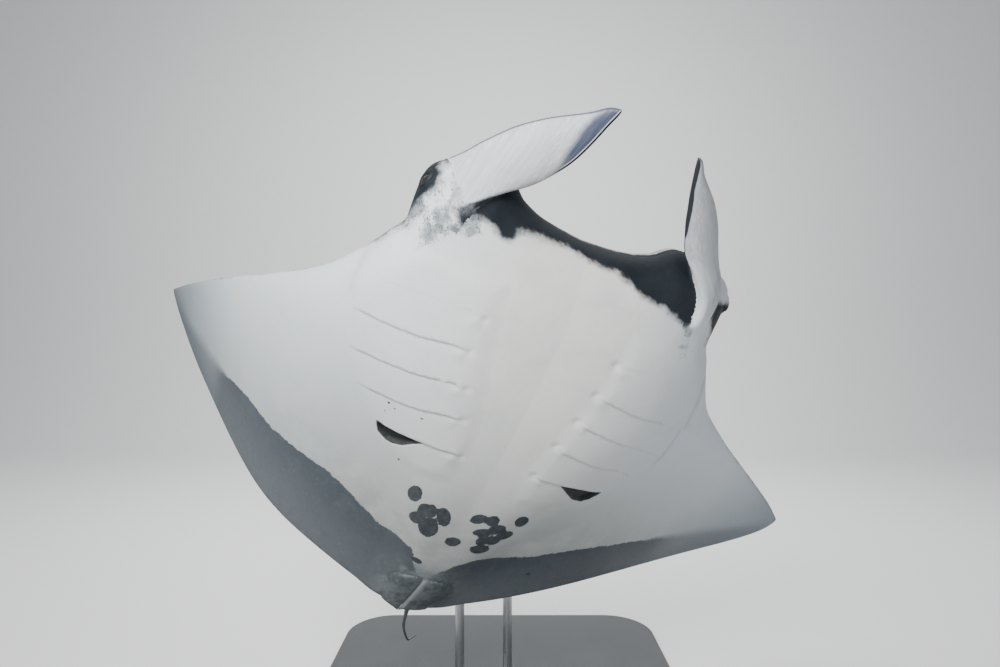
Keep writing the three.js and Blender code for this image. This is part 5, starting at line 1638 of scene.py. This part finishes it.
# base: a slab with rounded corners and a rounded upper edge
BASE_W, BASE_D, BASE_H, BASE_R, BASE_B = 1.9, 1.95, 0.04, 0.268, 0.008
verts, profile = [], []
for k in range(5):
    a = math.pi / 2 * k / 4
    profile.append((BASE_B * 0.4 * (1 - math.sin(a)), BASE_B * 0.4 * (1 - math.cos(a))))
for k in range(9):
    a = math.pi / 2 * k / 8
    profile.append((BASE_B * (1 - math.cos(a)), BASE_H - BASE_B * (1 - math.sin(a))))
loop = []
for cx, cy, a0 in ((1, 1, 0), (-1, 1, 90), (-1, -1, 180), (1, -1, 270)):
    for k in range(25):
        a = math.radians(a0 + 90 * k / 24)
        loop.append((cx * (BASE_W / 2 - BASE_R) + BASE_R * math.cos(a), cy * (BASE_D / 2 - BASE_R) + BASE_R * math.sin(a), math.cos(a), math.sin(a)))
for inset, z in profile:
    verts += [(x - nx * inset, y - ny * inset, z) for x, y, nx, ny in loop]
n = len(loop)
faces = grid_faces(len(profile), n) + [tuple(range(n))[::-1], tuple((len(profile) - 1) * n + k for k in range(n))]
piece_of("stand_base_fine", verts, faces, paint, "stand_base", 30)

ROD_R, ROD_BEND, PAD_R, PAD_H, COLLAR_R, COLLAR_H, THIN = 0.024, 0.21, 0.085, 0.034, 0.07, 0.03, 0.0003

surface = BVHTree.FromPolygons([v.co for v in skin_mesh.vertices], [tuple(p.vertices) for p in skin_mesh.polygons])
OUT = POSE @ np.array([0.0, 0.0, 1.0])
for word, y, reach in (("upper", 0.055, 0.62), ("lower", -0.1, 0.35)):
    seat = to_room(np.array([[0.0, y, float(halves(np.array([0.0]), np.array([y]))[1][0])]]))[0]
    ex = POSE @ np.array([1.0, 0.0, 0.0])
    ey = np.cross(OUT, ex)
    # pad: a turned disc whose inner face follows the animal's back
    cols = 96
    radial = [0.0, 0.2, 0.4, 0.6, 0.8, 0.9, 0.96, 1.0]
    inner = []
    for f in radial:
        for j in range(cols):
            a = 2 * math.pi * j / cols
            r = PAD_R * f
            h = 0.0
            for _ in range(4):
                rr = min(r, (PAD_R - 0.017 * (h + 0.014) / 0.048)) if f == 1.0 else r * 0.96
                top = seat + ex * rr * math.cos(a) + ey * rr * math.sin(a) + OUT * 0.2
                hit = surface.ray_cast(Vector(top), Vector(-OUT), 0.5)
                h = (0.2 - hit[3]) if hit[0] else h
                h = min(max(h, -0.014), 0.02)
            inner.append(seat + ex * rr * math.cos(a) + ey * rr * math.sin(a) + OUT * (h + 0.0008))
    lip = 0.005
    outer = []
    for k in range(9):
        a = math.pi / 2 * k / 8
        outer.append((0.068 - lip * (1 - math.cos(a)), PAD_H - lip * (1 - math.sin(a))))
    outer += [(0.045, PAD_H), (0.038, PAD_H), (0.0365, PAD_H), (0.02, PAD_H), (0.0, PAD_H)]
    rows = len(radial)
    verts = list(inner)
    for r, h in outer:
        for j in range(cols):
            a = 2 * math.pi * j / cols
            verts.append(seat + ex * r * math.cos(a) + ey * r * math.sin(a) + OUT * h)
    piece_of("stand_pad_%s_fine" % word, verts, grid_faces(rows + len(outer), cols), steel, "stand_pad_" + word, 38)

    # rod: straight from the pad, one bend, straight down
    start = seat + OUT * (PAD_H + THIN)
    elbow = start + OUT * reach
    foot = np.array([elbow[0], elbow[1], BASE_H + COLLAR_H + 2 * THIN])
    down = np.array([0.0, 0.0, -1.0])
    half = math.acos(float(-OUT @ down)) / 2
    cut = min(ROD_BEND / math.tan(half), reach * 0.95)
    radius = cut * math.tan(half)
    toward = down - OUT
    middle = elbow + toward / np.linalg.norm(toward) * radius / math.sin(half)
    first = elbow - OUT * cut
    a0 = first - middle
    a0 /= np.linalg.norm(a0)
    path = [start]
    for k in range(33):
        a = (math.pi - 2 * half) * k / 32
        path.append(middle + a0 * radius * math.cos(a) + OUT * radius * math.sin(a))
    path.append(foot)
    path = np.array(path)
    side_axis = np.cross(OUT, down)
    side_axis /= np.linalg.norm(side_axis)
    verts = []
    cols = 48
    rings = []
    for k, p in enumerate(path):
        t = path[min(k + 1, len(path) - 1)] - path[max(k - 1, 0)]
        t /= np.linalg.norm(t)
        rings.append((p, t))
    full = [(rings[0][0], rings[0][1], 0.0), (rings[0][0], rings[0][1], ROD_R - 0.0015)]
    full += [(rings[0][0] + rings[0][1] * 0.0015, rings[0][1], ROD_R)] + [(p, t, ROD_R) for p, t in rings[1:-1]]
    last = rings[-1]
    full += [(last[0] - last[1] * 0.0015, last[1], ROD_R), (last[0], last[1], ROD_R - 0.0015), (last[0], last[1], 0.0)]
    for p, t, r in full:
        u = np.cross(side_axis, t)
        for j in range(cols):
            a = 2 * math.pi * j / cols
            verts.append(p + (side_axis * math.cos(a) + u * math.sin(a)) * r)
    piece_of("stand_rod_%s_fine" % word, verts, grid_faces(len(full), cols), steel, "stand_rod_" + word, 38)

    # collar on the base
    prof = [(0.0, 0.0), (COLLAR_R - 0.001, 0.0), (COLLAR_R, 0.001), (COLLAR_R, 0.0095), (COLLAR_R - 0.0008, 0.0113), (COLLAR_R - 0.0025, 0.0122)]
    prof += [(0.0675 + (0.038 - 0.0675) * f, 0.0122 + (0.0295 - 0.0122) * f) for f in (0.25, 0.5, 0.75, 0.95)]
    prof += [(0.0365, 0.03), (0.02, 0.03), (0.0, 0.03)]
    verts = []
    cols = 72
    for r, h in prof:
        for j in range(cols):
            a = 2 * math.pi * j / cols
            verts.append((foot[0] + r * math.cos(a), foot[1] + r * math.sin(a), BASE_H + THIN + h))
    piece_of("stand_collar_%s_fine" % word, verts, grid_faces(len(prof), cols), steel, "stand_collar_" + word, 38)


# ==== stage =======================================================================================
def plain(name, color, rough):
    m = bpy.data.materials.new(name)
    m.use_nodes = True
    b = m.node_tree.nodes["Principled BSDF"]
    b.inputs["Base Color"].default_value = (*color, 1)
    b.inputs["Roughness"].default_value = rough
    return m


def stage_mesh(name, verts, faces, material, smooth_it=False):
    me = bpy.data.meshes.new(name)
    me.from_pydata(verts, [], faces)
    if smooth_it:
        me.shade_smooth()
    o = bpy.data.objects.new(name, me)
    me.materials.append(material)
    bpy.context.scene.collection.objects.link(o)
    return o


# a pale floor that turns up into a wall far behind
profile = [(-14, 0)] + [(7 + 3 * math.sin(a), 3 - 3 * math.cos(a)) for a in np.linspace(0, math.pi / 2, 17)] + [(10, 16)]
sweep_v = [(x, y, z) for y, z in profile for x in (-24, 24)]
sweep_f = [(2 * k, 2 * k + 1, 2 * k + 3, 2 * k + 2) for k in range(len(profile) - 1)]
stage_mesh("floor", sweep_v, sweep_f, plain("floor", (0.74, 0.745, 0.75), 0.8), True)

world = bpy.data.worlds.new("studio")
world.use_nodes = True
world.node_tree.nodes["Background"].inputs[0].default_value = (0.93, 0.95, 0.98, 1)
world.node_tree.nodes["Background"].inputs[1].default_value = 0.46
bpy.context.scene.world = world


def area(name, at, to, size, power, color=(1, 1, 1)):
    light = bpy.data.lights.new(name, "AREA")
    light.shape, light.size, light.size_y, light.energy, light.color = "RECTANGLE", size[0], size[1], power, color
    o = bpy.data.objects.new(name, light)
    o.location = at
    o.rotation_euler = (Vector(to) - Vector(at)).to_track_quat("-Z", "Y").to_euler()
    bpy.context.scene.collection.objects.link(o)
    return o


area("key", (-1.3, -3.3, 3.5), (-0.15, -0.8, 1.75), (1.4, 1.4), 235, (1, 0.985, 0.965))
area("fill", (4.5, -3.5, 2.0), (0, -0.7, 1.5), (3, 3), 22)
area("backdrop", (0, 1.8, 6.5), (0, 8, 1.5), (7, 3), 950)

camera_data = bpy.data.cameras.new("camera")
camera_data.sensor_width = 36
camera_data.lens = 0.680 * 36
camera_data.clip_end = 200
camera = bpy.data.objects.new("camera", camera_data)
camera.location = (0, -3.52, 1.898)
camera.rotation_euler = (math.radians(90), 0, 0)
bpy.context.scene.collection.objects.link(camera)
bpy.context.scene.camera = camera
